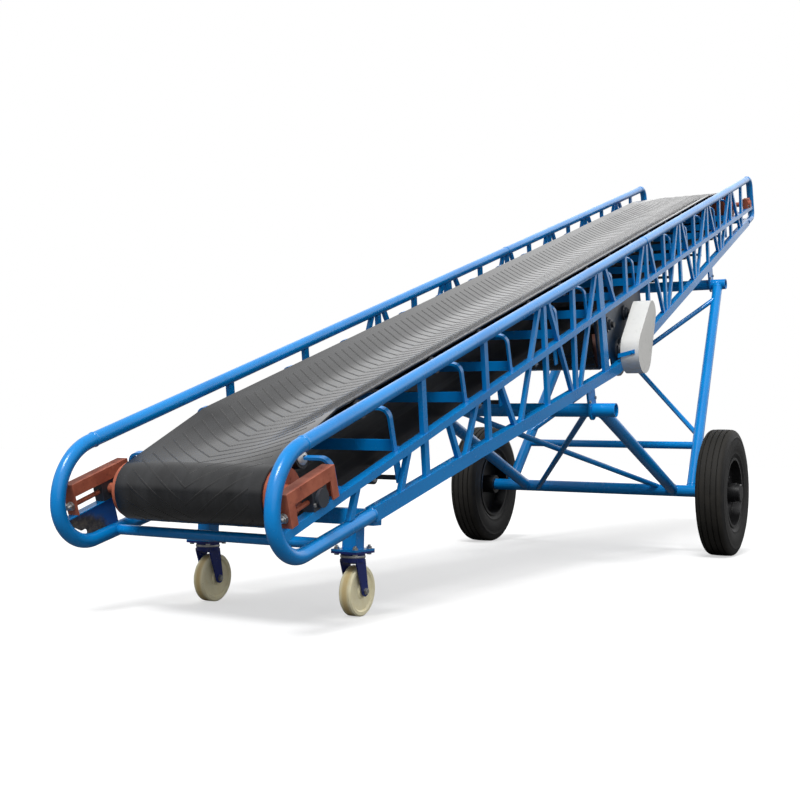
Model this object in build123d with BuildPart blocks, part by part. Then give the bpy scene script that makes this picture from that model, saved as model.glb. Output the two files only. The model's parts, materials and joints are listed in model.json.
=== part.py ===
"""Mobile belt conveyor: an inclined troughed belt on a tube and angle truss, two road wheels, two casters."""
import os
from math import atan, atan2, cos, degrees, radians, sin, sqrt, tan

from build123d import *

os.makedirs("parts", exist_ok=True)

# Driving dimensions, millimetres and degrees.
# The slope frame has u along the belt from the tail, v square to it, and y across.
INCLINE = 19.4
RAIL_HEIGHT = 582.0
RAIL_DIA = 54.0
RAIL_Y = 465.0
FRAME_LENGTH = 7340.0
LOOP_TOP_RADIUS = 220.0
LOOP_FOOT_RADIUS = 150.0
LOOP_SPLICE = 20.0
HEAD_TOP_RADIUS = 75.0
HEAD_FOOT_RADIUS = 60.0
HEAD_FOOT_LENGTH = 200.0
HEAD_TUBE_INSET = 140.0

# Truss chords: the mid chord is an angle bar, the bottom chord a channel that deepens to a knee.
CHORD_FACE_Y = 485.0
MID_TOP = -230.0
MID_LEG = 30.0
MID_LEDGE = 40.0
MID_WALL = 4.0
FOOT_U, FOOT_V = 520.0, -388.0
KNEE_U, KNEE_V = 3400.0, -620.0
HEAD_CHORD_V = -330.0
CHANNEL_DEPTH = 56.0
CHANNEL_FLANGE = 40.0
CHANNEL_WALL = 5.0
WEB_Y = 470.0
WEB_THICK = 20.0
POST_WIDTH = 36.0
DIAGONAL_WIDTH = 26.0
DRIVE_POST_WIDTH = 75.0
POST_LEAN = 75.0
DIAGONAL_STEP = 52.0
PANEL_LENGTH = 400.0
FIRST_POST_INSET = 45.0
LAST_POST_INSET = 450.0
GUSSET_END = 210.0
GUSSET_THICK = 6.0
GUSSET_SLOT_LENGTH, GUSSET_SLOT_WIDTH = 62.0, 26.0
GUSSET_SLOT_U, GUSSET_SLOT_V = 20.0, -312.0

# Belt and drums.
BELT_THICK = 10.0
BELT_FLAT_HALF = 115.0
BELT_WING = 210.0
TROUGH_ANGLE = 18.0
DRUM_RADIUS = 102.0
DRUM_LENGTH = 690.0
DRUM_V = -195.0
TAIL_DRUM_U = 190.0
HEAD_DRUM_INSET = 170.0
DRUM_SHAFT_DIA = 40.0
DRUM_DISC = 12.0
BELT_CENTRE_V = -92.5
TROUGH_START = 640.0
HEAD_TRANSITION = 650.0
FOLD_GAP = 0.3

# Idlers.
ROLLER_RADIUS = 38.0
ROLLER_SHAFT_DIA = 16.0
ROLLER_SHAFT_FLAT = 12.0
CENTRE_ROLLER_LENGTH = 224.0
WING_ROLLER_LENGTH = 205.0
WING_ROLLER_START = 8.0
IDLER_BAR_LEG = 45.0
IDLER_BAR_WALL = 5.0
BRACKET_WIDTH = 25.0
BRACKET_THICK = 6.0
BRACKET_Y = 454.0
BRACKET_BEND = 40.0
CANE_THICK = 10.0
SHAFT_STUB = 13.0
CENTRE_BRACKET_Y = 121.0
CENTRE_BRACKET_WIDTH = 40.0
SHAFT_GAP = 0.3
BELT_GAP = 0.5
RETURN_RADIUS = 30.0
RETURN_LENGTH = 690.0
TAIL_IDLER_US = (335.0, 775.0, 1420.0, 1930.0, 2560.0, 3020.0)
HEAD_IDLER_START = 3480.0
IDLER_PITCH = 430.0
LAST_IDLER_INSET = 40.0
TAIL_RETURN_US = (775.0, 1780.0, 2500.0)
RETURN_PITCH = 850.0
RETURN_INSET = 660.0
LAST_RETURN_INSET = 120.0

# Drive.
DRIVE_U, DRIVE_V = 3530.0, -545.0
BEND_RADIUS = 45.0
DRIVE_PLATE_THICK = 10.0
DRIVE_PLATE_BEFORE, DRIVE_PLATE_AFTER = 360.0, 510.0
DRIVE_BELLY_RADIUS = 150.0
REDUCER_AHEAD, REDUCER_V = 270.0, -385.0
REDUCER_SMALL, REDUCER_LARGE = 60.0, 92.0
REDUCER_DEPTH = 85.0
MOTOR_AHEAD, MOTOR_V = 405.0, -440.0
MOTOR_RADIUS = 85.0
MOTOR_LENGTH = 370.0
MOTOR_BELL = 30.0
MOTOR_FAN = 90.0
MOTOR_FAN_RADIUS = 79.0
MOTOR_FINS = 24
FIN_HEIGHT = 9.0
FIN_SHARE = 0.4
TERMINAL_LENGTH, TERMINAL_WIDTH, TERMINAL_TOP = 105.0, 84.0, 116.0
GUARD_TOP_AHEAD, GUARD_TOP_V, GUARD_TOP_RADIUS = 240.0, -375.0, 72.0
GUARD_LOW_AHEAD, GUARD_LOW_V, GUARD_LOW_RADIUS = 25.0, -560.0, 128.0
GUARD_DEPTH = 108.0
GUARD_WALL = 4.0
BASE_THICK = 10.0
BASE_LENGTH = 170.0
MOTOR_FOOT = 12.0
MOTOR_FOOT_WIDTH = 130.0

# Take-up bridges and bearing blocks.
TAKEUP_START, TAKEUP_END = 2.0, 300.0
TAKEUP_TOP = -115.0
TAKEUP_BAR = 46.0
TAKEUP_LEG = 38.0
TAKEUP_DEPTH = 50.0
TAKEUP_Y = 465.0
TAKEUP_WALL = 6.0
TAKEUP_SCREW_DIA = 18.0
TAKEUP_SCREW_END = -22.0
BLOCK_LENGTH = 92.0
BLOCK_DEPTH = 44.0
BEARING_CAP_RADIUS = 33.0
BEARING_CAP_DEPTH = 14.0

# Undercarriage, in ground coordinates measured from the tail's leftmost centreline.
AXLE_X, AXLE_HEIGHT = 4446.0, 402.0
FRONT_X, FRONT_Z = 3000.0, 868.0
REAR_X, REAR_Z = 5627.0, 1922.0
FRONT_HALF = 600.0
REAR_HALF = 575.0
STRUT_Y = 515.0
POST_FOOT_Y = 634.0
TUBE_DIA = 76.0
POST_DIA = 70.0
TUBE_WALL = 5.0
BRACE_DIA = 50.0
BRACE_HEIGHT = 700.0
CROSS_BRACE_DIA = 34.0
CROSS_GAP = 1.0
FRONT_CROSS_Y = 430.0
REAR_CROSS_LOW, REAR_CROSS_HIGH = 770.0, 1792.0
HANGER_THICK = 12.0
HANGER_WIDTH = 110.0

# Road wheels.
WHEEL_Y = 835.0
TYRE_RADIUS = 402.0
TYRE_WIDTH = 180.0
TREAD_HALF = 66.0
SHOULDER_HALF = 82.0
SHOULDER_DROP = 26.0
BELLY_RADIUS = 312.0
GROOVES = 3
GROOVE_PITCH = 34.0
GROOVE_WIDTH = 9.0
GROOVE_DEPTH = 9.0
RIM_RADIUS = 215.0
RIM_WIDTH = 150.0
RIM_WALL = 8.0
HUB_RADIUS = 62.0
HUB_LENGTH = 170.0
SPINDLE_DIA = 50.0
AXLE_NUT = 12.5
HUB_CAP_RADIUS = 56.0
HUB_CAP_DEPTH = 32.0
HUB_CAP_WALL = 6.0
WHEEL_FIT = 0.05
END_PLAY = 0.5

# Casters.
CASTER_X = 703.0
CASTER_Y = 342.0
CASTER_RADIUS = 95.0
CASTER_WIDTH = 50.0
CASTER_TRAIL = 38.0
CASTER_AXLE_DIA = 16.0
CASTER_CHAMFER = 5.0
CASTER_HUB_RADIUS = 25.0
CASTER_RIM_DEPTH = 17.0
CASTER_DISH = 6.0
CASTER_BORE_FIT = 0.05
KINGPIN_DIA = 22.0
KINGPIN_NUT_DIA = 36.0
KINGPIN_NUT_HEIGHT = 7.0
CROWN_Z = 206.0
CROWN_THICK = 10.0
CROWN_RADIUS = 46.0
RACE_THICK = 22.0
FORK_LEG = 6.0
FORK_GAP = 6.0
FORK_EYE_RADIUS = 20.0
FORK_CROWN_LENGTH = 64.0
PLATE_THICK = 8.0
PLATE_LENGTH, PLATE_WIDTH = 135.0, 110.0
STUB_SIZE = 60.0
BEAM_SIZE = 60.0
BEAM_TOP = 405.0
TAIL_TUBE_X = 300.0
TAIL_TUBE_DIA = 38.0

# Derived places.
SLOPE_COS = cos(radians(INCLINE))
SLOPE_SIN = sin(radians(INCLINE))
CHORD_FALL = (KNEE_V - FOOT_V) / (KNEE_U - FOOT_U)
CHORD_RISE = (HEAD_CHORD_V - KNEE_V) / (FRAME_LENGTH - KNEE_U)
HEAD_BEND_U = FRAME_LENGTH - HEAD_FOOT_RADIUS
HEAD_BEND_V = HEAD_CHORD_V + HEAD_FOOT_RADIUS / tan((radians(90) + atan(CHORD_RISE)) / 2)
X_MIN = -RAIL_DIA / 2
X_MAX = HEAD_BEND_U * SLOPE_COS - HEAD_BEND_V * SLOPE_SIN + HEAD_FOOT_RADIUS + RAIL_DIA / 2
X_SHIFT = -(X_MIN + X_MAX) / 2
SIDES = (("right", -1), ("left", 1))
HEAD_DRUM_U = FRAME_LENGTH - HEAD_DRUM_INSET
TROUGH_END = HEAD_DRUM_U - HEAD_TRANSITION
DRIVE_PLATE_START = DRIVE_U - DRIVE_PLATE_BEFORE
DRIVE_PLATE_END = DRIVE_U + DRIVE_PLATE_AFTER
REDUCER_U = DRIVE_U + REDUCER_AHEAD
MOTOR_U = DRIVE_U + MOTOR_AHEAD
GUARD_TOP_U = DRIVE_U + GUARD_TOP_AHEAD
GUARD_LOW_U = DRIVE_U + GUARD_LOW_AHEAD


def slope_point(u, v, y=0.0):
    """World point of slope coordinates u, v at the cross position y."""
    return Vector(X_SHIFT + u * SLOPE_COS - v * SLOPE_SIN, y, RAIL_HEIGHT + u * SLOPE_SIN + v * SLOPE_COS)


def ground_point(x, y, z):
    """World point of a place measured along the ground from the tail."""
    return Vector(X_SHIFT + x, y, z)


def side_plane(y):
    """Slope plane at the cross position y: local x is u, local y is v, the normal points to the right."""
    return Plane(origin=slope_point(0, 0, y), x_dir=(SLOPE_COS, 0, SLOPE_SIN), z_dir=(0, -1, 0))


def cut_plane(u):
    """Plane square to the belt at u: local x is world y, local y is v."""
    return Plane(origin=slope_point(u, 0), x_dir=(0, 1, 0), z_dir=(SLOPE_COS, 0, SLOPE_SIN))


def round_bar(start, end, dia, mode=Mode.ADD):
    """Round bar from start to end."""
    with BuildSketch(Plane(origin=start, z_dir=end - start)) as section:
        Circle(dia / 2)
    extrude(section.sketch, amount=(end - start).length, mode=mode)


def cross_bar(u, v, y_start, y_end, dia, mode=Mode.ADD):
    """Round bar across the belt at u, v."""
    round_bar(slope_point(u, v, y_start), slope_point(u, v, y_end), dia, mode)


def outline(plane, points, depth, mode=Mode.ADD):
    """Straight-edged outline on a plane, extruded evenly to both sides over the whole depth."""
    with BuildSketch(plane) as section:
        with BuildLine():
            Polyline(*points, close=True)
        make_face()
    extrude(section.sketch, amount=depth / 2, both=True, mode=mode)


def even_run(start, end, pitch):
    """Places from start to end, spaced evenly at nearly the given pitch."""
    gaps = max(1, round((end - start) / pitch))
    return [start + (end - start) * i / gaps for i in range(gaps + 1)]


def save(piece, node):
    """Label a finished piece and write it."""
    piece.part.label = node
    export_step(piece.part, f"parts/{node}.step")


def bottom_chord_v(u):
    """Centre of the bottom chord's face at u."""
    if u < KNEE_U:
        return FOOT_V + CHORD_FALL * (u - FOOT_U)
    return KNEE_V + CHORD_RISE * (u - KNEE_U)


# Side rails: the upper tube is straight, the tail loop drops upright and runs back to the bottom chord,
# and the head loop drops square to the rail and runs back to the chord's other end.
LOOP_CORNER_V = bottom_chord_v(0) / (1 - CHORD_FALL * tan(radians(INCLINE)))
LOOP_CORNER_U = LOOP_CORNER_V * tan(radians(INCLINE))
LOOP_START_U = LOOP_TOP_RADIUS * tan(radians(90 - INCLINE) / 2) + LOOP_SPLICE
HEAD_LOOP_U = FRAME_LENGTH - HEAD_TOP_RADIUS - LOOP_SPLICE
HEAD_FOOT_U = FRAME_LENGTH - HEAD_FOOT_LENGTH


def bent_tube(y, points, radii):
    """Rail tube at the cross position y along slope points, with a bend radius at each corner."""
    with BuildLine(side_plane(y)) as path:
        FilletPolyline(*points, radius=radii)
    with BuildSketch(Plane(origin=path.line @ 0, z_dir=path.line % 0)) as section:
        Circle(RAIL_DIA / 2)
    sweep(section.sketch, path=path.line)


tail_loops = {}
for side, sign in SIDES:
    with BuildPart() as rail:
        rail_start = slope_point(LOOP_START_U, 0, sign * RAIL_Y)
        round_bar(rail_start, slope_point(HEAD_LOOP_U, 0, sign * RAIL_Y), RAIL_DIA)
    save(rail, f"rail_{side}")

    with BuildPart() as tail_loop:
        bent_tube(
            sign * RAIL_Y,
            [(LOOP_START_U, 0), (0, 0), (LOOP_CORNER_U, LOOP_CORNER_V), (FOOT_U, FOOT_V)],
            [LOOP_TOP_RADIUS, LOOP_FOOT_RADIUS],
        )
    tail_loops[side] = tail_loop.part
    save(tail_loop, f"tail_loop_{side}")

with BuildPart() as head_loops:
    for sign in (-1, 1):
        bent_tube(
            sign * RAIL_Y,
            [
                (HEAD_LOOP_U, 0),
                (FRAME_LENGTH, 0),
                (FRAME_LENGTH, HEAD_CHORD_V),
                (HEAD_FOOT_U, bottom_chord_v(HEAD_FOOT_U)),
            ],
            [HEAD_TOP_RADIUS, HEAD_FOOT_RADIUS],
        )
save(head_loops, "head_loops")

# Centre of the loop's foot bend, and the chords' start inside the bent tube.
LEG_SLOPE = atan2(FOOT_V - LOOP_CORNER_V, FOOT_U - LOOP_CORNER_U)
BEND_HALF = (radians(90 - INCLINE) - LEG_SLOPE) / 2
BEND_OFFSET = LOOP_FOOT_RADIUS / sin(BEND_HALF)
FOOT_BEND_U = LOOP_CORNER_U + BEND_OFFSET * cos(LEG_SLOPE + BEND_HALF)
FOOT_BEND_V = LOOP_CORNER_V + BEND_OFFSET * sin(LEG_SLOPE + BEND_HALF)
MID_DROP = FOOT_BEND_V - (MID_TOP - MID_LEG / 2)
MID_START_U = FOOT_BEND_U - sqrt(LOOP_FOOT_RADIUS**2 - MID_DROP**2)

# Mid chords: angle bars with the ledge on top, cut to the loops' tubes.
for side, sign in SIDES:
    with BuildPart() as mid_chord:
        with BuildSketch(cut_plane(MID_START_U)):
            with BuildLine():
                outer = sign * CHORD_FACE_Y
                inner = sign * (CHORD_FACE_Y - MID_LEDGE)
                wall = sign * MID_WALL
                Polyline(
                    (outer, MID_TOP),
                    (inner, MID_TOP),
                    (inner, MID_TOP - MID_WALL),
                    (outer - wall, MID_TOP - MID_WALL),
                    (outer - wall, MID_TOP - MID_LEG),
                    (outer, MID_TOP - MID_LEG),
                    close=True,
                )
            make_face()
        extrude(amount=FRAME_LENGTH - MID_START_U)
        add(tail_loops[side], mode=Mode.SUBTRACT)
        add(head_loops.part, mode=Mode.SUBTRACT)
    save(mid_chord, f"mid_chord_{side}")

# Gusset with a slot on the left loop, between the mid chord and the lower leg.
with BuildPart() as gusset:
    with BuildSketch(side_plane(RAIL_Y)) as gusset_face:
        with BuildLine():
            Polyline(
                (MID_START_U, MID_TOP - MID_WALL),
                (GUSSET_END, MID_TOP - MID_WALL),
                (GUSSET_END, bottom_chord_v(GUSSET_END)),
                (FOOT_BEND_U, bottom_chord_v(FOOT_BEND_U)),
                close=True,
            )
        make_face()
        with Locations((GUSSET_SLOT_U, GUSSET_SLOT_V)):
            SlotOverall(GUSSET_SLOT_LENGTH, GUSSET_SLOT_WIDTH, mode=Mode.SUBTRACT)
    extrude(gusset_face.sketch, amount=GUSSET_THICK / 2, both=True)
    add(tail_loops["left"], mode=Mode.SUBTRACT)
save(gusset, "tail_gusset")

# Bottom chords: channels open to the inside, in two straight runs that meet at the knee.
def chord_band(half_depth):
    """Outline of the bottom chord over both runs, a band of the given half depth."""
    upper = [(u, bottom_chord_v(u) + half_depth) for u in (FOOT_U, KNEE_U, HEAD_FOOT_U)]
    lower = [(u, v - 2 * half_depth) for u, v in reversed(upper)]
    return upper + lower


for side, sign in SIDES:
    with BuildPart() as bottom_chord:
        outline(
            side_plane(sign * (CHORD_FACE_Y - CHANNEL_FLANGE / 2)),
            chord_band(CHANNEL_DEPTH / 2),
            CHANNEL_FLANGE,
        )
        outline(
            side_plane(sign * (CHORD_FACE_Y - CHANNEL_WALL - CHANNEL_FLANGE / 2)),
            chord_band(CHANNEL_DEPTH / 2 - CHANNEL_WALL),
            CHANNEL_FLANGE,
            Mode.SUBTRACT,
        )
        add(tail_loops[side], mode=Mode.SUBTRACT)
        add(head_loops.part, mode=Mode.SUBTRACT)
    save(bottom_chord, f"bottom_chord_{side}")

# Web members between the rail, the mid chord and the bottom chord.
WEB_MEMBERS = (
    # top u, top line, bottom u, bottom line, width
    (464, "mid", 350, "bottom", DIAGONAL_WIDTH),
    (864, "mid", 726, "bottom", DIAGONAL_WIDTH),
    (1036, "rail", 957, "bottom", POST_WIDTH),
    (1202, "mid", 1262, "bottom", DIAGONAL_WIDTH),
    (1508, "mid", 1310, "bottom", DIAGONAL_WIDTH),
    (1647, "rail", 1566, "bottom", POST_WIDTH),
    (1751, "mid", 1870, "bottom", DIAGONAL_WIDTH),
    (2320, "rail", 1918, "bottom", DIAGONAL_WIDTH),
    (2374, "rail", 2284, "bottom", POST_WIDTH),
    (2428, "rail", 2640, "bottom", DIAGONAL_WIDTH),
    (2800, "rail", 2691, "bottom", POST_WIDTH),
    (3180, "rail", 2745, "bottom", DIAGONAL_WIDTH),
    (3235, "rail", 3190, "bottom", DRIVE_POST_WIDTH),
    (3330, "rail", 3450, "mid", DIAGONAL_WIDTH),
    (3720, "rail", 3683, "mid", POST_WIDTH),
    (4110, "rail", 3928, "mid", DIAGONAL_WIDTH),
)


def head_panels():
    """Posts from the drive station to the head, with diagonals that meet in pairs at tops and feet."""
    feet = even_run(DRIVE_PLATE_END + FIRST_POST_INSET, FRAME_LENGTH - LAST_POST_INSET, PANEL_LENGTH)
    members = [(foot + POST_LEAN, "rail", foot, "bottom", POST_WIDTH) for foot in feet]
    for i, (foot, next_foot) in enumerate(zip(feet, feet[1:])):
        if i % 2 == 0:
            top, low = foot + POST_LEAN + DIAGONAL_STEP, next_foot - DIAGONAL_STEP
        else:
            top, low = next_foot + POST_LEAN - DIAGONAL_STEP, foot + DIAGONAL_STEP
        members.append((top, "rail", low, "bottom", DIAGONAL_WIDTH))
    return members


def web_end(u, line):
    """Point on the named line where a web member starts or ends."""
    if line == "rail":
        return (u, 0.0)
    if line == "mid":
        return (u, MID_TOP - MID_WALL / 2)
    return (u, bottom_chord_v(u))


for side, sign in SIDES:
    with BuildPart() as web:
        for top_u, top_line, bottom_u, bottom_line, width in (*WEB_MEMBERS, *head_panels()):
            top, bottom = web_end(top_u, top_line), web_end(bottom_u, bottom_line)
            half = width / 2 / sin(atan2(top[1] - bottom[1], abs(top[0] - bottom[0])))
            outline(
                side_plane(sign * WEB_Y),
                [
                    (top[0] - half, top[1]),
                    (top[0] + half, top[1]),
                    (bottom[0] + half, bottom[1]),
                    (bottom[0] - half, bottom[1]),
                ],
                WEB_THICK,
            )
        round_bar(
            slope_point(LOOP_START_U, 0, sign * RAIL_Y),
            slope_point(FRAME_LENGTH, 0, sign * RAIL_Y),
            RAIL_DIA,
            Mode.SUBTRACT,
        )
        outline(
            side_plane(sign * WEB_Y),
            [
                (0, MID_TOP),
                (FRAME_LENGTH, MID_TOP),
                (FRAME_LENGTH, MID_TOP - MID_WALL),
                (0, MID_TOP - MID_WALL),
            ],
            2 * WEB_THICK,
            Mode.SUBTRACT,
        )
        outline(
            side_plane(sign * WEB_Y),
            [
                (FOOT_U - KNEE_U, bottom_chord_v(FOOT_U - KNEE_U) + CHANNEL_DEPTH / 2),
                (KNEE_U, KNEE_V + CHANNEL_DEPTH / 2),
                (FRAME_LENGTH, HEAD_CHORD_V + CHANNEL_DEPTH / 2),
                (FRAME_LENGTH, KNEE_V - CHANNEL_DEPTH),
                (FOOT_U - KNEE_U, KNEE_V - CHANNEL_DEPTH),
            ],
            2 * WEB_THICK,
            Mode.SUBTRACT,
        )
        add(tail_loops[side], mode=Mode.SUBTRACT)
    save(web, f"web_{side}")

# Cross members of the truss at the tail and the head.
CHORD_BASE_V = FOOT_V - CHORD_FALL * FOOT_U
TAIL_TUBE_U = (TAIL_TUBE_X + CHORD_BASE_V * SLOPE_SIN) / (SLOPE_COS - CHORD_FALL * SLOPE_SIN)
with BuildPart() as tail_tube:
    cross_bar(TAIL_TUBE_U, bottom_chord_v(TAIL_TUBE_U), -RAIL_Y, RAIL_Y, TAIL_TUBE_DIA)
    for loop in tail_loops.values():
        add(loop, mode=Mode.SUBTRACT)
save(tail_tube, "tail_cross_tube")

HEAD_TUBE_U = FRAME_LENGTH - HEAD_TUBE_INSET
with BuildPart() as head_tube:
    cross_bar(HEAD_TUBE_U, bottom_chord_v(HEAD_TUBE_U), -RAIL_Y, RAIL_Y, TAIL_TUBE_DIA)
    add(head_loops.part, mode=Mode.SUBTRACT)
save(head_tube, "head_cross_tube")

# Belt: troughed carrying run in three strips, flat return run wrapped under the drive drum by bend rollers.
RETURN_V = DRUM_V - DRUM_RADIUS
BELT_HALF = BELT_FLAT_HALF + BELT_WING
BEND_V = RETURN_V - BELT_THICK - BEND_RADIUS
BEND_REACH = DRUM_RADIUS + BELT_THICK + BEND_RADIUS
BEND_US = (DRIVE_U - BEND_REACH, DRIVE_U + BEND_REACH)
IDLER_US = (*TAIL_IDLER_US, *even_run(HEAD_IDLER_START, TROUGH_END - LAST_IDLER_INSET, IDLER_PITCH))
BELT_PITCH_RADIUS = DRUM_RADIUS + BELT_THICK / 2
BEND_PITCH_RADIUS = BEND_RADIUS + BELT_THICK / 2
RETURN_MID_V = RETURN_V - BELT_THICK / 2


def belt_strip(u, v, wing_angle, strip):
    """Section at u of one strip of the carrying run, underside at v: 0 is the middle, -1 and 1 the wings."""
    under = [(-BELT_FLAT_HALF, v), (BELT_FLAT_HALF, v)]
    if strip:
        fold = BELT_FLAT_HALF + FOLD_GAP
        reach = fold + BELT_WING * cos(radians(wing_angle))
        under = [(strip * fold, v), (strip * reach, v + BELT_WING * sin(radians(wing_angle)))]
    upper = [(y, w + BELT_THICK) for y, w in reversed(under)]
    with BuildSketch(cut_plane(u)) as section:
        with BuildLine():
            Polyline(*under, *upper, close=True)
        make_face()
    return section.sketch


DRUM_TOP_V = DRUM_V + DRUM_RADIUS
FLAT_ANGLE = 0.5
with BuildPart() as belt_carry:
    for strip in (-1, 0, 1):
        trough_start = belt_strip(TROUGH_START, BELT_CENTRE_V, TROUGH_ANGLE, strip)
        trough_end = belt_strip(TROUGH_END, BELT_CENTRE_V, TROUGH_ANGLE, strip)
        loft([belt_strip(TAIL_DRUM_U, DRUM_TOP_V, FLAT_ANGLE, strip), trough_start])
        extrude(trough_start, amount=TROUGH_END - TROUGH_START)
        loft([trough_end, belt_strip(HEAD_DRUM_U, DRUM_TOP_V, FLAT_ANGLE, strip)])
save(belt_carry, "belt_carry")

with BuildPart() as belt_return:
    with BuildSketch(side_plane(0)) as loop_profile:
        with BuildLine() as loop_line:
            CenterArc((TAIL_DRUM_U, DRUM_V), BELT_PITCH_RADIUS, 90, 180)
            Line((TAIL_DRUM_U, RETURN_MID_V), (BEND_US[0], RETURN_MID_V))
            CenterArc((BEND_US[0], BEND_V), BEND_PITCH_RADIUS, 90, -90)
            Line((DRIVE_U - BELT_PITCH_RADIUS, BEND_V), (DRIVE_U - BELT_PITCH_RADIUS, DRIVE_V))
            CenterArc((DRIVE_U, DRIVE_V), BELT_PITCH_RADIUS, 180, 180)
            Line((DRIVE_U + BELT_PITCH_RADIUS, DRIVE_V), (DRIVE_U + BELT_PITCH_RADIUS, BEND_V))
            CenterArc((BEND_US[1], BEND_V), BEND_PITCH_RADIUS, 180, -90)
            Line((BEND_US[1], RETURN_MID_V), (HEAD_DRUM_U, RETURN_MID_V))
            CenterArc((HEAD_DRUM_U, DRUM_V), BELT_PITCH_RADIUS, -90, 180)
        trace(line_width=BELT_THICK)
    extrude(loop_profile.sketch, amount=BELT_HALF, both=True)
save(belt_return, "belt_return")

# Drums with end discs and shafts.
DRUMS = (
    # node, u, v, shaft half length
    ("tail_drum", TAIL_DRUM_U, DRUM_V, TAKEUP_Y + BLOCK_DEPTH / 2),
    ("head_drum", HEAD_DRUM_U, DRUM_V, TAKEUP_Y + BLOCK_DEPTH / 2),
    ("drive_drum", DRIVE_U, DRIVE_V, CHORD_FACE_Y + DRIVE_PLATE_THICK),
)
for node, u, v, shaft_half in DRUMS:
    with BuildPart() as drum:
        cross_bar(u, v, -DRUM_LENGTH / 2, DRUM_LENGTH / 2, 2 * DRUM_RADIUS)
        for sign in (-1, 1):
            end = sign * DRUM_LENGTH / 2
            cross_bar(u, v, end - sign * DRUM_DISC, end + sign * 2 * DRUM_DISC, 2 * DRUM_SHAFT_DIA)
        cross_bar(u, v, -shaft_half, shaft_half, DRUM_SHAFT_DIA)
    save(drum, node)

with BuildPart() as bend_rollers:
    for u in BEND_US:
        cross_bar(u, BEND_V, -DRUM_LENGTH / 2, DRUM_LENGTH / 2, 2 * BEND_RADIUS)
        cross_bar(u, BEND_V, -CHORD_FACE_Y, CHORD_FACE_Y, ROLLER_SHAFT_DIA * 2)
save(bend_rollers, "bend_rollers")

# Take-up bridges with their screws over the tail bearings, and the bearing blocks.
with BuildPart() as takeup:
    for sign in (-1, 1):
        outline(
            side_plane(sign * TAKEUP_Y),
            [
                (TAKEUP_START, MID_TOP),
                (TAKEUP_START, TAKEUP_TOP),
                (TAKEUP_END, TAKEUP_TOP),
                (TAKEUP_END, MID_TOP),
                (TAKEUP_END - TAKEUP_LEG, MID_TOP),
                (TAKEUP_END - TAKEUP_LEG, TAKEUP_TOP - TAKEUP_BAR),
                (TAKEUP_START + TAKEUP_LEG, TAKEUP_TOP - TAKEUP_BAR),
                (TAKEUP_START + TAKEUP_LEG, MID_TOP),
            ],
            TAKEUP_DEPTH,
        )
        hollow_y = TAKEUP_Y - TAKEUP_WALL
        for leg_start in (TAKEUP_START + TAKEUP_WALL, TAKEUP_END - TAKEUP_LEG):
            outline(
                side_plane(sign * hollow_y),
                [
                    (leg_start, MID_TOP),
                    (leg_start, TAKEUP_TOP - TAKEUP_BAR),
                    (leg_start + TAKEUP_LEG - TAKEUP_WALL, TAKEUP_TOP - TAKEUP_BAR),
                    (leg_start + TAKEUP_LEG - TAKEUP_WALL, MID_TOP),
                ],
                TAKEUP_DEPTH,
                Mode.SUBTRACT,
            )
        screw_end = slope_point(TAKEUP_SCREW_END, DRUM_V, sign * TAKEUP_Y)
        block_face = slope_point(TAIL_DRUM_U - BLOCK_LENGTH / 2, DRUM_V, sign * TAKEUP_Y)
        round_bar(screw_end, block_face, TAKEUP_SCREW_DIA)
save(takeup, "takeup_bridges")

BLOCKS = (
    # node, drum u, block top
    ("tail_bearings", TAIL_DRUM_U, TAKEUP_TOP - TAKEUP_BAR),
    ("head_bearings", HEAD_DRUM_U, DRUM_V + BLOCK_LENGTH / 2),
)
for node, u, block_top in BLOCKS:
    with BuildPart() as blocks:
        for sign in (-1, 1):
            outline(
                side_plane(sign * TAKEUP_Y),
                [
                    (u - BLOCK_LENGTH / 2, MID_TOP),
                    (u + BLOCK_LENGTH / 2, MID_TOP),
                    (u + BLOCK_LENGTH / 2, block_top),
                    (u - BLOCK_LENGTH / 2, block_top),
                ],
                BLOCK_DEPTH,
            )
            cap_start = sign * (TAKEUP_Y + BLOCK_DEPTH / 2)
            cross_bar(u, DRUM_V, cap_start, cap_start + sign * BEARING_CAP_DEPTH, 2 * BEARING_CAP_RADIUS)
        shaft_end = TAKEUP_Y + BLOCK_DEPTH / 2
        cross_bar(u, DRUM_V, -shaft_end, shaft_end, DRUM_SHAFT_DIA, Mode.SUBTRACT)
    save(blocks, node)

# Idler sets: cross bar with centre brackets, cane-shaped side brackets and three rollers each.
SHAFT_REACH = WING_ROLLER_START + WING_ROLLER_LENGTH + SHAFT_STUB
IDLER_BAR_TOP = MID_TOP + IDLER_BAR_LEG


def belt_state(u):
    """Underside of the belt's flat part and angle of its wings at u, with the tail transition."""
    if u >= TROUGH_START:
        return BELT_CENTRE_V, TROUGH_ANGLE
    share = (u - TAIL_DRUM_U) / (TROUGH_START - TAIL_DRUM_U)
    ends = [(BELT_WING * sin(radians(a)), BELT_WING * cos(radians(a))) for a in (FLAT_ANGLE, TROUGH_ANGLE)]
    rise, reach = [first + share * (last - first) for first, last in zip(*ends)]
    return DRUM_TOP_V + share * (BELT_CENTRE_V - DRUM_TOP_V), degrees(atan(rise / reach))


def wing_axis(u, distance):
    """Cross position and v of a wing roller's axis, at a distance from the centre bracket."""
    under, angle = belt_state(u)
    wing_cos, wing_sin = cos(radians(angle)), sin(radians(angle))
    offset = ROLLER_RADIUS + BELT_GAP
    fold_y, fold_v = BELT_FLAT_HALF + offset * wing_sin, under - offset * wing_cos
    start_y = CENTRE_BRACKET_Y + BRACKET_THICK / 2 + SHAFT_GAP + ROLLER_SHAFT_DIA / 2 * wing_sin
    along = (start_y - fold_y) / wing_cos + distance
    return fold_y + along * wing_cos, fold_v + along * wing_sin


def wing_point(u, distance, sign):
    """World point on a wing roller's axis."""
    y, v = wing_axis(u, distance)
    return slope_point(u, v, sign * y)


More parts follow.
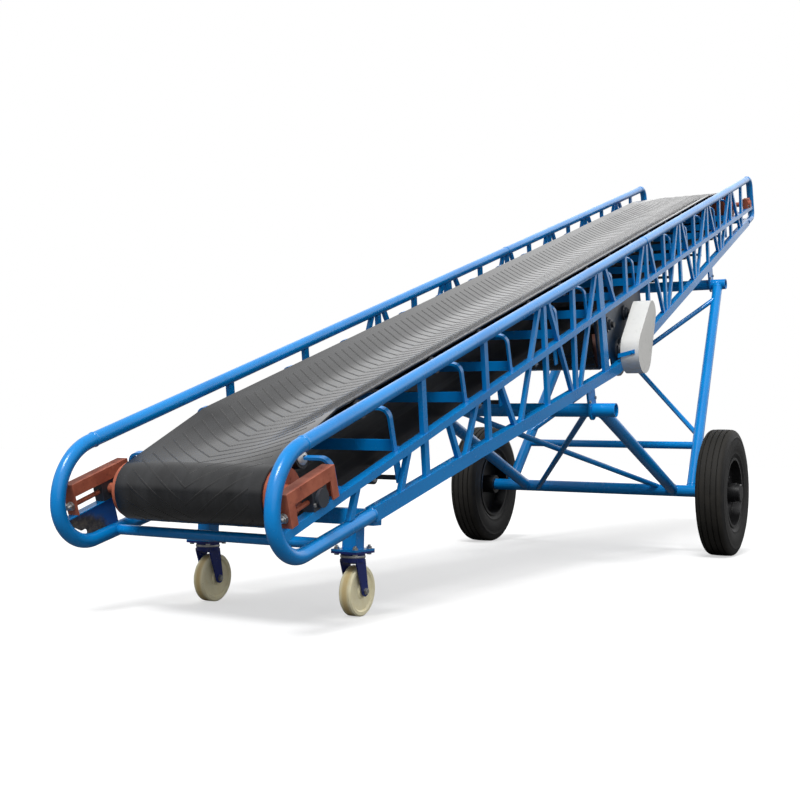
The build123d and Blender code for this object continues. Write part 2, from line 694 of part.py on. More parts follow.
def flat_shaft(start, end, mode=Mode.ADD):
    """Roller shaft from start to end with two flats along the belt."""
    with BuildSketch(Plane(origin=start, x_dir=(SLOPE_COS, 0, SLOPE_SIN), z_dir=end - start)) as section:
        Rectangle(ROLLER_SHAFT_FLAT, ROLLER_SHAFT_DIA)
    extrude(section.sketch, amount=(end - start).length, mode=mode)


with BuildPart() as idler_bars:
    for u in IDLER_US:
        outline(
            side_plane(0),
            [
                (u, MID_TOP),
                (u + IDLER_BAR_LEG, MID_TOP),
                (u + IDLER_BAR_LEG, MID_TOP + IDLER_BAR_WALL),
                (u + IDLER_BAR_WALL, MID_TOP + IDLER_BAR_WALL),
                (u + IDLER_BAR_WALL, IDLER_BAR_TOP),
                (u, IDLER_BAR_TOP),
            ],
            2 * (BRACKET_Y - CANE_THICK / 2),
        )
save(idler_bars, "idler_bars")

with BuildPart() as centre_brackets:
    for u in IDLER_US:
        bracket_top = belt_state(u)[0] - ROLLER_RADIUS + ROLLER_SHAFT_DIA
        for sign in (-1, 1):
            outline(
                side_plane(sign * CENTRE_BRACKET_Y),
                [
                    (u - CENTRE_BRACKET_WIDTH / 2, bracket_top),
                    (u + CENTRE_BRACKET_WIDTH / 2, bracket_top),
                    (u + CENTRE_BRACKET_WIDTH / 4, IDLER_BAR_TOP),
                    (u - CENTRE_BRACKET_WIDTH / 4, IDLER_BAR_TOP),
                ],
                BRACKET_THICK,
            )
save(centre_brackets, "centre_brackets")

with BuildPart() as idler_brackets:
    for u in IDLER_US:
        shaft_end_y, tip_v = wing_axis(u, SHAFT_REACH + SHAFT_GAP)
        tip_y = shaft_end_y + CANE_THICK / 2 * tan(radians(belt_state(u)[1]))
        for sign in (-1, 1):
            with BuildSketch(cut_plane(u)) as cane:
                with BuildLine():
                    FilletPolyline(
                        (sign * BRACKET_Y, MID_TOP),
                        (sign * BRACKET_Y, tip_v),
                        (sign * tip_y, tip_v),
                        radius=BRACKET_BEND,
                    )
                trace(line_width=CANE_THICK)
            extrude(cane.sketch, amount=BRACKET_WIDTH / 2, both=True)
save(idler_brackets, "idler_brackets")

with BuildPart() as carry_rollers:
    for u in IDLER_US:
        for sign in (-1, 1):
            roller_end = WING_ROLLER_START + WING_ROLLER_LENGTH
            roller_start = wing_point(u, WING_ROLLER_START, sign)
            round_bar(roller_start, wing_point(u, roller_end, sign), 2 * ROLLER_RADIUS)
            flat_shaft(wing_point(u, 0, sign), wing_point(u, SHAFT_REACH, sign))
        roller_v = belt_state(u)[0] - ROLLER_RADIUS - BELT_GAP
        shaft_half = CENTRE_BRACKET_Y - BRACKET_THICK / 2
        cross_bar(u, roller_v, -CENTRE_ROLLER_LENGTH / 2, CENTRE_ROLLER_LENGTH / 2, 2 * ROLLER_RADIUS)
        flat_shaft(slope_point(u, roller_v, -shaft_half), slope_point(u, roller_v, shaft_half))
save(carry_rollers, "carry_rollers")

# Return rollers on hangers under the mid chords' ledges.
RETURN_RUN = even_run(DRIVE_PLATE_END + RETURN_INSET, TROUGH_END - LAST_RETURN_INSET, RETURN_PITCH)
RETURN_US = (*TAIL_RETURN_US, *RETURN_RUN)
RETURN_ROLLER_V = RETURN_V - BELT_THICK - RETURN_RADIUS
with BuildPart() as return_rollers:
    for u in RETURN_US:
        cross_bar(u, RETURN_ROLLER_V, -RETURN_LENGTH / 2, RETURN_LENGTH / 2, 2 * RETURN_RADIUS)
        shaft_half = BRACKET_Y - BRACKET_THICK / 2
        flat_shaft(slope_point(u, RETURN_ROLLER_V, -shaft_half), slope_point(u, RETURN_ROLLER_V, shaft_half))
save(return_rollers, "return_rollers")

with BuildPart() as return_hangers:
    for u in RETURN_US:
        for sign in (-1, 1):
            outline(
                side_plane(sign * BRACKET_Y),
                [
                    (u - CENTRE_BRACKET_WIDTH / 2, MID_TOP - MID_WALL),
                    (u + CENTRE_BRACKET_WIDTH / 2, MID_TOP - MID_WALL),
                    (u + CENTRE_BRACKET_WIDTH / 2, RETURN_ROLLER_V - ROLLER_SHAFT_DIA),
                    (u - CENTRE_BRACKET_WIDTH / 2, RETURN_ROLLER_V - ROLLER_SHAFT_DIA),
                ],
                BRACKET_THICK,
            )
save(return_hangers, "return_hangers")

# Drive station: side plates on the chords' inner faces, reducer, motor on its base, chain guard.
PLATE_Y = CHORD_FACE_Y - CHANNEL_FLANGE - DRIVE_PLATE_THICK / 2
with BuildPart() as drive_plates:
    for sign in (-1, 1):
        with BuildSketch(side_plane(sign * PLATE_Y)) as plate_face:
            with BuildLine():
                belly_left = (DRIVE_U - DRIVE_BELLY_RADIUS, DRIVE_V)
                belly_right = (DRIVE_U + DRIVE_BELLY_RADIUS, DRIVE_V)
                Polyline(
                    belly_left,
                    (DRIVE_PLATE_START, KNEE_V + CHANNEL_DEPTH),
                    (DRIVE_PLATE_START, MID_TOP),
                    (DRIVE_PLATE_END, MID_TOP),
                    (DRIVE_PLATE_END, bottom_chord_v(DRIVE_PLATE_END)),
                    belly_right,
                )
                ThreePointArc(belly_right, (DRIVE_U, DRIVE_V - DRIVE_BELLY_RADIUS), belly_left)
            make_face()
        extrude(plate_face.sketch, amount=DRIVE_PLATE_THICK / 2, both=True)
        cross_bar(DRIVE_U, DRIVE_V, -CHORD_FACE_Y, CHORD_FACE_Y, DRUM_SHAFT_DIA, Mode.SUBTRACT)
        for u in BEND_US:
            cross_bar(u, BEND_V, -CHORD_FACE_Y, CHORD_FACE_Y, ROLLER_SHAFT_DIA * 2, Mode.SUBTRACT)
        cross_bar(REDUCER_U, REDUCER_V, -CHORD_FACE_Y, CHORD_FACE_Y, DRUM_SHAFT_DIA, Mode.SUBTRACT)
save(drive_plates, "drive_plates")

REDUCER_OUTER_Y = CHORD_FACE_Y - CHANNEL_FLANGE - DRIVE_PLATE_THICK
with BuildPart() as reducer:
    with BuildSketch(side_plane(-REDUCER_OUTER_Y + REDUCER_DEPTH / 2)) as housing:
        with Locations((REDUCER_U, REDUCER_V)):
            Circle(REDUCER_SMALL)
        with Locations((MOTOR_U, MOTOR_V)):
            Circle(REDUCER_LARGE)
        make_hull()
    extrude(housing.sketch, amount=REDUCER_DEPTH / 2, both=True)
    cross_bar(REDUCER_U, REDUCER_V, -REDUCER_OUTER_Y, -CHORD_FACE_Y - DRIVE_PLATE_THICK, DRUM_SHAFT_DIA)
save(reducer, "reducer")

MOTOR_OUTER_Y = REDUCER_OUTER_Y - REDUCER_DEPTH
MOTOR_MID_Y = MOTOR_LENGTH / 2 - MOTOR_OUTER_Y
BASE_TOP = MOTOR_V - MOTOR_RADIUS - MOTOR_FOOT


def fin_points():
    """Outline of the motor's finned barrel, with fins of even width all round."""
    points = []
    for i in range(MOTOR_FINS):
        for share, radius in (
            (-FIN_SHARE / 2, MOTOR_RADIUS - FIN_HEIGHT),
            (-FIN_SHARE / 2, MOTOR_RADIUS),
            (FIN_SHARE / 2, MOTOR_RADIUS),
            (FIN_SHARE / 2, MOTOR_RADIUS - FIN_HEIGHT),
        ):
            angle = radians(360 * (i + share) / MOTOR_FINS)
            points.append((MOTOR_U + radius * cos(angle), MOTOR_V + radius * sin(angle)))
    return points


FAN_Y = MOTOR_LENGTH - MOTOR_FAN - MOTOR_OUTER_Y
FINNED_LENGTH = MOTOR_LENGTH - MOTOR_FAN - 2 * MOTOR_BELL
FINNED_MID_Y = MOTOR_BELL + FINNED_LENGTH / 2 - MOTOR_OUTER_Y
with BuildPart() as motor:
    cross_bar(MOTOR_U, MOTOR_V, -MOTOR_OUTER_Y, MOTOR_BELL - MOTOR_OUTER_Y, 2 * MOTOR_RADIUS)
    outline(side_plane(FINNED_MID_Y), fin_points(), FINNED_LENGTH)
    cross_bar(MOTOR_U, MOTOR_V, FAN_Y - MOTOR_BELL, FAN_Y, 2 * MOTOR_RADIUS)
    cross_bar(MOTOR_U, MOTOR_V, FAN_Y, FAN_Y + MOTOR_FAN, 2 * MOTOR_FAN_RADIUS)
    outline(
        side_plane(FINNED_MID_Y),
        [
            (MOTOR_U - TERMINAL_WIDTH / 2, MOTOR_V),
            (MOTOR_U + TERMINAL_WIDTH / 2, MOTOR_V),
            (MOTOR_U + TERMINAL_WIDTH / 2, MOTOR_V + TERMINAL_TOP),
            (MOTOR_U - TERMINAL_WIDTH / 2, MOTOR_V + TERMINAL_TOP),
        ],
        TERMINAL_LENGTH,
    )
    outline(
        side_plane(MOTOR_MID_Y),
        [
            (MOTOR_U - MOTOR_FOOT_WIDTH / 2, BASE_TOP),
            (MOTOR_U + MOTOR_FOOT_WIDTH / 2, BASE_TOP),
            (MOTOR_U + MOTOR_FOOT_WIDTH / 2, MOTOR_V),
            (MOTOR_U - MOTOR_FOOT_WIDTH / 2, MOTOR_V),
        ],
        MOTOR_LENGTH / 2,
    )
save(motor, "motor")

with BuildPart() as motor_base:
    outline(
        side_plane(0),
        [
            (MOTOR_U - BASE_LENGTH / 2, BASE_TOP),
            (MOTOR_U + BASE_LENGTH / 2, BASE_TOP),
            (MOTOR_U + BASE_LENGTH / 2, BASE_TOP - BASE_THICK),
            (MOTOR_U - BASE_LENGTH / 2, BASE_TOP - BASE_THICK),
        ],
        2 * REDUCER_OUTER_Y,
    )
save(motor_base, "motor_base")



def guard_outline(inset):
    """Face of the chain guard on the chord's outer side, drawn in by an inset."""
    with BuildSketch(side_plane(-CHORD_FACE_Y)) as face:
        with Locations((GUARD_TOP_U, GUARD_TOP_V)):
            Circle(GUARD_TOP_RADIUS - inset)
        with Locations((GUARD_LOW_U, GUARD_LOW_V)):
            Circle(GUARD_LOW_RADIUS - inset)
        make_hull()
    return face.sketch


with BuildPart() as guard:
    extrude(guard_outline(0), amount=GUARD_DEPTH)
    extrude(guard_outline(GUARD_WALL), amount=GUARD_DEPTH - GUARD_WALL, mode=Mode.SUBTRACT)
save(guard, "chain_guard")

# Undercarriage tubes, each cut to the tube that it meets.
HUB_INNER = WHEEL_Y - HUB_LENGTH / 2
HUB_OUTER = WHEEL_Y + HUB_LENGTH / 2
AXLE_HALF = HUB_INNER - END_PLAY
AXLE = [ground_point(AXLE_X, y, AXLE_HEIGHT) for y in (-AXLE_HALF, AXLE_HALF)]
FRONT = [ground_point(FRONT_X, y, FRONT_Z) for y in (-FRONT_HALF, FRONT_HALF)]
REAR = [ground_point(REAR_X, y, REAR_Z) for y in (-REAR_HALF, REAR_HALF)]


def post_point(height, sign):
    """Point on a rear post's axis at a height."""
    share = (height - AXLE_HEIGHT) / (REAR_Z - AXLE_HEIGHT)
    y = POST_FOOT_Y + share * (STRUT_Y - POST_FOOT_Y)
    return ground_point(AXLE_X + share * (REAR_X - AXLE_X), sign * y, height)


with BuildPart() as axle:
    round_bar(*AXLE, TUBE_DIA)
    for sign in (-1, 1):
        shoulder = ground_point(AXLE_X, sign * AXLE_HALF, AXLE_HEIGHT)
        nut_start = ground_point(AXLE_X, sign * (HUB_OUTER + END_PLAY), AXLE_HEIGHT)
        nut_end = ground_point(AXLE_X, sign * (HUB_OUTER + END_PLAY + AXLE_NUT), AXLE_HEIGHT)
        round_bar(shoulder, nut_end, SPINDLE_DIA)
        round_bar(nut_start, nut_end, TUBE_DIA)
save(axle, "axle")

for node, ends in (("front_cross_tube", FRONT), ("rear_cross_tube", REAR)):
    with BuildPart() as cross_tube:
        round_bar(*ends, TUBE_DIA)
        round_bar(*ends, TUBE_DIA - 2 * TUBE_WALL, Mode.SUBTRACT)
    save(cross_tube, node)

with BuildPart() as struts:
    for sign in (-1, 1):
        strut_top = ground_point(FRONT_X, sign * STRUT_Y, FRONT_Z)
        round_bar(strut_top, ground_point(AXLE_X, sign * STRUT_Y, AXLE_HEIGHT), POST_DIA)
    round_bar(*FRONT, TUBE_DIA, Mode.SUBTRACT)
    round_bar(*AXLE, TUBE_DIA, Mode.SUBTRACT)
save(struts, "front_struts")

with BuildPart() as posts:
    for sign in (-1, 1):
        round_bar(post_point(AXLE_HEIGHT, sign), post_point(REAR_Z, sign), POST_DIA)
    round_bar(*AXLE, TUBE_DIA, Mode.SUBTRACT)
    round_bar(*REAR, TUBE_DIA, Mode.SUBTRACT)
save(posts, "rear_posts")

with BuildPart() as brace:
    round_bar(post_point(BRACE_HEIGHT, -1), post_point(BRACE_HEIGHT, 1), BRACE_DIA)
    for sign in (-1, 1):
        round_bar(post_point(AXLE_HEIGHT, sign), post_point(REAR_Z, sign), POST_DIA, Mode.SUBTRACT)
save(brace, "rear_brace")

# Crossed braces pass each other side by side, one on each side of their plane.
CROSS_PASS = (CROSS_BRACE_DIA + CROSS_GAP) / 2


def passing(start, end, sign):
    """Ends of a crossed brace, moved off its plane so that the pair pass each other."""
    lean = Vector(end.X - start.X, 0, end.Z - start.Z).normalized()
    shift = lean.cross(Vector(0, 1, 0)) * sign * CROSS_PASS
    return start + shift, end + shift


with BuildPart() as front_cross:
    for sign in (-1, 1):
        start = ground_point(FRONT_X, sign * FRONT_CROSS_Y, FRONT_Z)
        end = ground_point(AXLE_X, -sign * FRONT_CROSS_Y, AXLE_HEIGHT)
        round_bar(*passing(start, end, sign), CROSS_BRACE_DIA)
    round_bar(*FRONT, TUBE_DIA, Mode.SUBTRACT)
    round_bar(*AXLE, TUBE_DIA, Mode.SUBTRACT)
save(front_cross, "front_cross_braces")

with BuildPart() as rear_cross:
    for sign in (-1, 1):
        start, end = post_point(REAR_CROSS_LOW, sign), post_point(REAR_CROSS_HIGH, -sign)
        round_bar(*passing(start, end, sign), CROSS_BRACE_DIA)
    for sign in (-1, 1):
        round_bar(post_point(AXLE_HEIGHT, sign), post_point(REAR_Z, sign), POST_DIA, Mode.SUBTRACT)
save(rear_cross, "rear_cross_braces")

# Hanger plates carry the truss on the cross tubes.
HANGERS = (
    # node, tube x, tube z, ends
    ("front_hangers", FRONT_X, FRONT_Z, FRONT),
    ("rear_hangers", REAR_X, REAR_Z, REAR),
)
HANGER_Y = CHORD_FACE_Y - CHANNEL_FLANGE / 2
for node, tube_x, tube_z, ends in HANGERS:
    rise = tube_z - RAIL_HEIGHT
    tube_u = tube_x * SLOPE_COS + rise * SLOPE_SIN
    tube_v = rise * SLOPE_COS - tube_x * SLOPE_SIN
    with BuildPart() as hangers:
        for sign in (-1, 1):
            with BuildSketch(side_plane(sign * HANGER_Y)) as plate:
                with Locations((tube_u, tube_v)):
                    Circle(HANGER_WIDTH / 2)
                with BuildLine():
                    left, right = tube_u - HANGER_WIDTH / 2, tube_u + HANGER_WIDTH / 2
                    Polyline(
                        (left, tube_v),
                        (right, tube_v),
                        (right, bottom_chord_v(right) - CHANNEL_DEPTH / 2),
                        (left, bottom_chord_v(left) - CHANNEL_DEPTH / 2),
                        close=True,
                    )
                make_face()
            extrude(plate.sketch, amount=HANGER_THICK / 2, both=True)
        round_bar(*ends, TUBE_DIA, Mode.SUBTRACT)
    save(hangers, node)

# Caster beam and stubs, each with a bolted pair of plates; the lower plate carries the kingpin.
RACE_TOP = CROWN_Z + CROWN_THICK + RACE_THICK
PLATE_Z = RACE_TOP + END_PLAY
STUB_FOOT = PLATE_Z + 2 * PLATE_THICK
BEAM_LOW = BEAM_TOP - BEAM_SIZE
BEAM_HALF = CHORD_FACE_Y - CHANNEL_FLANGE
with BuildPart() as caster_beam:
    beam_centre = ground_point(CASTER_X, 0, BEAM_LOW + BEAM_SIZE / 2)
    with BuildSketch(Plane(origin=beam_centre, z_dir=(0, 1, 0))) as beam_face:
        Rectangle(BEAM_SIZE, BEAM_SIZE)
    extrude(beam_face.sketch, amount=BEAM_HALF, both=True)
save(caster_beam, "caster_beam")

for side, sign in SIDES:
    pivot = ground_point(CASTER_X, sign * CASTER_Y, 0)
    with BuildPart() as stub:
        with BuildSketch(Plane(origin=pivot + Vector(0, 0, STUB_FOOT))) as stub_face:
            Rectangle(STUB_SIZE, STUB_SIZE)
        extrude(stub_face.sketch, amount=BEAM_LOW - STUB_FOOT)
        with BuildSketch(Plane(origin=pivot + Vector(0, 0, PLATE_Z + PLATE_THICK))) as plate_face:
            Rectangle(PLATE_LENGTH, PLATE_WIDTH)
        extrude(plate_face.sketch, amount=PLATE_THICK)
    save(stub, f"caster_mount_{side}")

    pin_low = pivot + Vector(0, 0, CROWN_Z - END_PLAY - KINGPIN_NUT_HEIGHT)
    with BuildPart() as caster_plate:
        with BuildSketch(Plane(origin=pivot + Vector(0, 0, PLATE_Z))) as plate_face:
            Rectangle(PLATE_LENGTH, PLATE_WIDTH)
        extrude(plate_face.sketch, amount=PLATE_THICK)
        round_bar(pin_low, pivot + Vector(0, 0, PLATE_Z), KINGPIN_DIA)
        round_bar(pin_low, pin_low + Vector(0, 0, KINGPIN_NUT_HEIGHT), KINGPIN_NUT_DIA)
    save(caster_plate, f"caster_plate_{side}")

    wheel_centre = pivot + Vector(CASTER_TRAIL, 0, CASTER_RADIUS)
    leg_inner = CASTER_WIDTH / 2 + FORK_GAP
    with BuildPart() as fork:
        with BuildSketch(Plane(origin=pivot + Vector(0, 0, CROWN_Z))) as crown_face:
            Circle(CROWN_RADIUS)
        extrude(crown_face.sketch, amount=CROWN_THICK + RACE_THICK)
        for leg_sign in (-1, 1):
            leg_y = leg_sign * (leg_inner + FORK_LEG / 2)
            leg_plane = Plane(origin=wheel_centre + Vector(0, leg_y, 0), x_dir=(1, 0, 0), z_dir=(0, -1, 0))
            with BuildSketch(leg_plane) as leg_face:
                Circle(FORK_EYE_RADIUS)
                with Locations((-CASTER_TRAIL, CROWN_Z + CROWN_THICK / 2 - CASTER_RADIUS)):
                    Rectangle(FORK_CROWN_LENGTH, CROWN_THICK)
                make_hull()
            extrude(leg_face.sketch, amount=FORK_LEG / 2, both=True)
        round_bar(
            wheel_centre - Vector(0, leg_inner + 2 * FORK_LEG, 0),
            wheel_centre + Vector(0, leg_inner + 2 * FORK_LEG, 0),
            CASTER_AXLE_DIA,
        )
        with BuildSketch(Plane(origin=pivot + Vector(0, 0, CROWN_Z))) as bore_face:
            Circle(KINGPIN_DIA / 2 + CASTER_BORE_FIT)
        extrude(bore_face.sketch, amount=CROWN_THICK + RACE_THICK, mode=Mode.SUBTRACT)
    save(fork, f"caster_fork_{side}")

    with BuildPart() as caster_wheel:
        with BuildSketch(Plane(origin=wheel_centre, x_dir=(0, 1, 0), z_dir=(1, 0, 0))):
            with BuildLine():
                half = CASTER_WIDTH / 2
                rim_inner = CASTER_RADIUS - CASTER_RIM_DEPTH
                half_profile = [
                    (half, CASTER_AXLE_DIA / 2 + CASTER_BORE_FIT),
                    (half, CASTER_HUB_RADIUS),
                    (half - CASTER_DISH, CASTER_HUB_RADIUS + CASTER_DISH),
                    (half - CASTER_DISH, rim_inner - CASTER_DISH),
                    (half, rim_inner),
                    (half, CASTER_RADIUS - CASTER_CHAMFER),
                    (half - CASTER_CHAMFER, CASTER_RADIUS),
                ]
                Polyline(*half_profile, *[(-a, r) for a, r in reversed(half_profile)], close=True)
            make_face()
        revolve(axis=Axis(wheel_centre, (0, 1, 0)))
    save(caster_wheel, f"caster_wheel_{side}")

# Road wheels: tyre and rim with a closed hub, turned about the axle.
BEAD_RADIUS = RIM_RADIUS - RIM_WALL
for side, sign in SIDES:
    road_centre = ground_point(AXLE_X, sign * WHEEL_Y, AXLE_HEIGHT)
    wheel_plane = Plane(origin=road_centre, x_dir=(0, sign, 0), z_dir=(1, 0, 0))
    spin = Axis(road_centre, (0, 1, 0))
    with BuildPart() as tyre:
        with BuildSketch(wheel_plane):
            with BuildLine():
                bead_half = RIM_WIDTH / 2 - RIM_WALL
                flange_r = RIM_RADIUS + RIM_WALL
                shoulder_r = TYRE_RADIUS - SHOULDER_DROP
                half_profile = [
                    (bead_half, RIM_RADIUS),
                    (bead_half, flange_r),
                    (TYRE_WIDTH / 2, BELLY_RADIUS),
                    (SHOULDER_HALF, shoulder_r),
                    (TREAD_HALF, TYRE_RADIUS),
                ]
                Polyline(*half_profile, *[(-a, r) for a, r in reversed(half_profile)], close=True)
            make_face()
            for groove in GridLocations(GROOVE_PITCH, 0, GROOVES, 1):
                centre = groove.position.X
                with BuildLine():
                    Polyline(
                        (centre - GROOVE_WIDTH / 2, TYRE_RADIUS),
                        (centre, TYRE_RADIUS - GROOVE_DEPTH),
                        (centre + GROOVE_WIDTH / 2, TYRE_RADIUS),
                        close=True,
                    )
                make_face(mode=Mode.SUBTRACT)
        revolve(axis=spin)
    save(tyre, f"tyre_{side}")

    with BuildPart() as rim:
        with BuildSketch(wheel_plane):
            with BuildLine():
                half = RIM_WIDTH / 2
                bore = SPINDLE_DIA / 2 + WHEEL_FIT
                disc_near, disc_far = RIM_WALL, 2 * RIM_WALL
                cap_end = HUB_LENGTH / 2 + HUB_CAP_DEPTH
                cap_inner = HUB_CAP_RADIUS - HUB_CAP_WALL
                Polyline(
                    (-HUB_LENGTH / 2, bore),
                    (HUB_LENGTH / 2, bore),
                    (HUB_LENGTH / 2, cap_inner),
                    (cap_end - HUB_CAP_WALL, cap_inner),
                    (cap_end - HUB_CAP_WALL, 0),
                    (cap_end, 0),
                    (cap_end, cap_inner),
                    (cap_end - HUB_CAP_WALL, HUB_CAP_RADIUS),
                    (HUB_LENGTH / 2, HUB_CAP_RADIUS),
                    (HUB_LENGTH / 2, HUB_RADIUS),
                    (disc_far, HUB_RADIUS),
                    (disc_far, BEAD_RADIUS),
                    (half, BEAD_RADIUS),
                    (half, RIM_RADIUS + RIM_WALL),
                    (half - RIM_WALL, RIM_RADIUS + RIM_WALL),
                    (half - RIM_WALL, RIM_RADIUS),
                    (-half + RIM_WALL, RIM_RADIUS),
                    (-half + RIM_WALL, RIM_RADIUS + RIM_WALL),
                    (-half, RIM_RADIUS + RIM_WALL),
                    (-half, BEAD_RADIUS),
                    (disc_near, BEAD_RADIUS),
                    (disc_near, HUB_RADIUS),
                    (-HUB_LENGTH / 2, HUB_RADIUS),
                    close=True,
                )
            make_face()
        revolve(axis=spin)
    save(rim, f"rim_{side}")
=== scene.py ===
"""Looks of the mobile belt conveyor: belt, tyres, fasteners, paint and rubber, on a plain floor."""
import json
import math
from collections import namedtuple

import bpy
from mathutils import Matrix, Vector


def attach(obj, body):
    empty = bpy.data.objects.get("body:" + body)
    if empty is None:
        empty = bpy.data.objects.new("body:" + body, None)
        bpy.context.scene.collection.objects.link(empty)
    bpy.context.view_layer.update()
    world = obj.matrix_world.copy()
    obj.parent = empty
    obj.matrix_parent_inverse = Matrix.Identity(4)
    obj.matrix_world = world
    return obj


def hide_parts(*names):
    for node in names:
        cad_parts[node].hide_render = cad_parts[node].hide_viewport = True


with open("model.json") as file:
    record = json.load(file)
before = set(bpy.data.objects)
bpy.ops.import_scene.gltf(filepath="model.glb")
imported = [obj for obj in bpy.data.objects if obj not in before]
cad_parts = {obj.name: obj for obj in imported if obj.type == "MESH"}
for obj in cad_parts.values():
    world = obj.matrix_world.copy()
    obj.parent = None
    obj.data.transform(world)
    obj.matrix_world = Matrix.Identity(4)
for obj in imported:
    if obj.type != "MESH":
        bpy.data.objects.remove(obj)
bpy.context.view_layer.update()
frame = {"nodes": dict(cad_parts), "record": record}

# Sizes are in metres. On the slope, u runs along the belt from the tail, v stands square to it and
# y runs across. Profiles of turned forms are pairs of distance along the axis and radius.
INCLINE = math.radians(19.4)
RAIL_HEIGHT = 0.582
X_SHIFT = -3.508879
ALONG = Vector((math.cos(INCLINE), 0, math.sin(INCLINE)))
ABOVE = Vector((-math.sin(INCLINE), 0, math.cos(INCLINE)))
ACROSS = Vector((0, 1, 0))
UP = Vector((0, 0, 1))
SIDES = (("right", -1), ("left", 1))
SIGNS = (-1, 1)
QUARTER = math.pi / 2

# Frame and undercarriage. A weld bead's pairs are distance along a tube and swell on its radius.
RAIL_Y = 0.465
RAIL_RADIUS = 0.027
RAIL_JOINTS = (0.1758, 4.140, 7.245)
MID_TOP = -0.230
FOOT_U, FOOT_V = 0.520, -0.388
KNEE_U, KNEE_V = 3.400, -0.620
SLOT_U, SLOT_V = 0.020, -0.312
FRONT_X, FRONT_Z = 3.000, 0.868
REAR_X, REAR_Z = 5.627, 1.922
STRUT_Y = 0.515
POST_FOOT_Y = 0.634
POST_RADIUS = 0.035
TUBE_RADIUS = 0.038
WELD_GAP = 0.004
WELD_BEAD = ((-0.006, -0.001), (-0.004, 0.0018), (0.0, 0.0026), (0.004, 0.0018), (0.006, -0.001))

# Drums and belt.
DRUM_RADIUS = 0.102
DRUM_V = -0.195
TAIL_DRUM_U = 0.190
HEAD_DRUM_U = 7.170
DRIVE_U, DRIVE_V = 3.530, -0.545
BEND_RADIUS = 0.045
BELT_THICK = 0.010
BELT_EDGE = 0.0025
BELT_FLAT_HALF = 0.115
BELT_WING = 0.210
BELT_HALF = BELT_FLAT_HALF + BELT_WING
BELT_CENTRE_V = -0.0925
BELT_PLACES = (0.290, 0.250, 0.210, 0.175, 0.150, 0.132, 0.115, 0.098, 0.080, 0.040)
TROUGH_ANGLE = 18.0
TROUGH_RISE = math.sin(math.radians(TROUGH_ANGLE)) * BELT_WING
TROUGH_START = 0.640
TROUGH_END = 6.520
FOLD_BLEND = 0.045
WING_NARROWING = 0.049
PLAIN_STEP, FINE_STEP, TURN_STEP = 0.10, 0.02, 0.13
RIPPLE_START_X, RIPPLE_FULL_X = 1.0, 2.4

# Ribs of the belt. They fade toward the tail drum and are flat where a roller presses on them.
RIB_PITCH = 0.060
RIB_SWEEP = 0.70
RIB_HALF = 0.268
RIB_STEPS = 12
RIB_WIDTH = 0.010
RIB_BASE, RIB_TOP = RIB_WIDTH * 0.61, RIB_WIDTH * 0.40
RIB_SINK = 0.0004
RIB_LEAST = 0.0002
RIB_HEIGHT = 0.0014
RIB_FADE = 0.45
RIB_TAIL_SHARE = 0.25
RIB_WORN_SHARE = 0.6
PRESS_REACH, PRESS_FLAT = 0.05, 0.4
LOOP_MARGIN_U, LOOP_MARGIN_V = 0.03, 0.01

# Idlers and return rollers.
IDLER_US = (0.335, 0.775, 1.420, 1.930, 2.560, 3.020) + tuple(
    3.480 + 3.000 * i / 7 for i in range(8)
)
ROLLER_RADIUS = 0.038
ROLLER_END = 0.213
ROLLER_GAP = 0.0005
WING_LEAST_ANGLE = 0.5
WING_START_Y, WING_START_SHIFT = 0.1243, 0.008
RETURN_US = (0.775, 1.780, 2.500, 4.700, 5.550, 6.400)
RETURN_HALF = 0.345
RETURN_ROLLER_V = -0.337
RETURN_CAP_SHARE = 0.79
CAP_DOME = (
    (-0.001, 0.0275),
    (0.003, 0.0270),
    (0.0065, 0.0240),
    (0.0095, 0.0180),
    (0.0110, 0.0130),
    (0.0110, 0.0092),
)

# Road wheels. The profile of the tyre's side goes from the bead to the tread.
AXLE_X = 4.446
AXLE_HEIGHT = 0.402
WHEEL_Y = 0.835
TYRE_RADIUS = 0.402
TYRE_SIDE = (
    (0.0672, 0.2152),
    (0.0672, 0.2260),
    (0.0740, 0.2360),
    (0.0800, 0.2480),
    (0.0812, 0.2500),
    (0.0806, 0.2520),
    (0.0850, 0.2680),
    (0.0885, 0.2900),
    (0.0898, 0.3120),
    (0.0895, 0.3320),
    (0.0880, 0.3500),
    (0.0886, 0.3520),
    (0.0872, 0.3545),
    (0.0845, 0.3660),
    (0.0815, 0.3760),
    (0.0780, 0.3850),
    (0.0730, 0.3925),
    (0.0670, 0.3970),
)
TREAD_CROWN = 0.55
GROOVES = (0.051, 0.017)
GROOVE_MOUTH, GROOVE_FLOOR, GROOVE_DEPTH = 0.0045, 0.0028, 0.009
NUT_COUNT, NUT_TURN = 6, 0.3
NUT_CIRCLE, NUT_FACE = 0.098, 0.016
NUT_SIZE, NUT_SHANK = 0.0135, 0.012

# Casters.
CASTER_X = 0.703
CASTER_Y = 0.342
CASTER_TRAIL = 0.038
CASTER_RADIUS = 0.095
CASTER_BOLT_X, CASTER_BOLT_Y = 0.051, 0.040
CASTER_BOLT, CASTER_NUT, CASTER_SHANK = 0.0115, 0.0105, 0.006
PLATE_TOP, PLATE_THICK = 0.2545, 0.016
FORK_FACE, AXLE_BOLT = 0.037, 0.0125
RACE_HEIGHT = 0.222
RACE_RING = (
    (0.0, 0.0455),
    (0.0, 0.0475),
    (0.004, 0.0485),
    (0.008, 0.0475),
    (0.008, 0.0455),
)

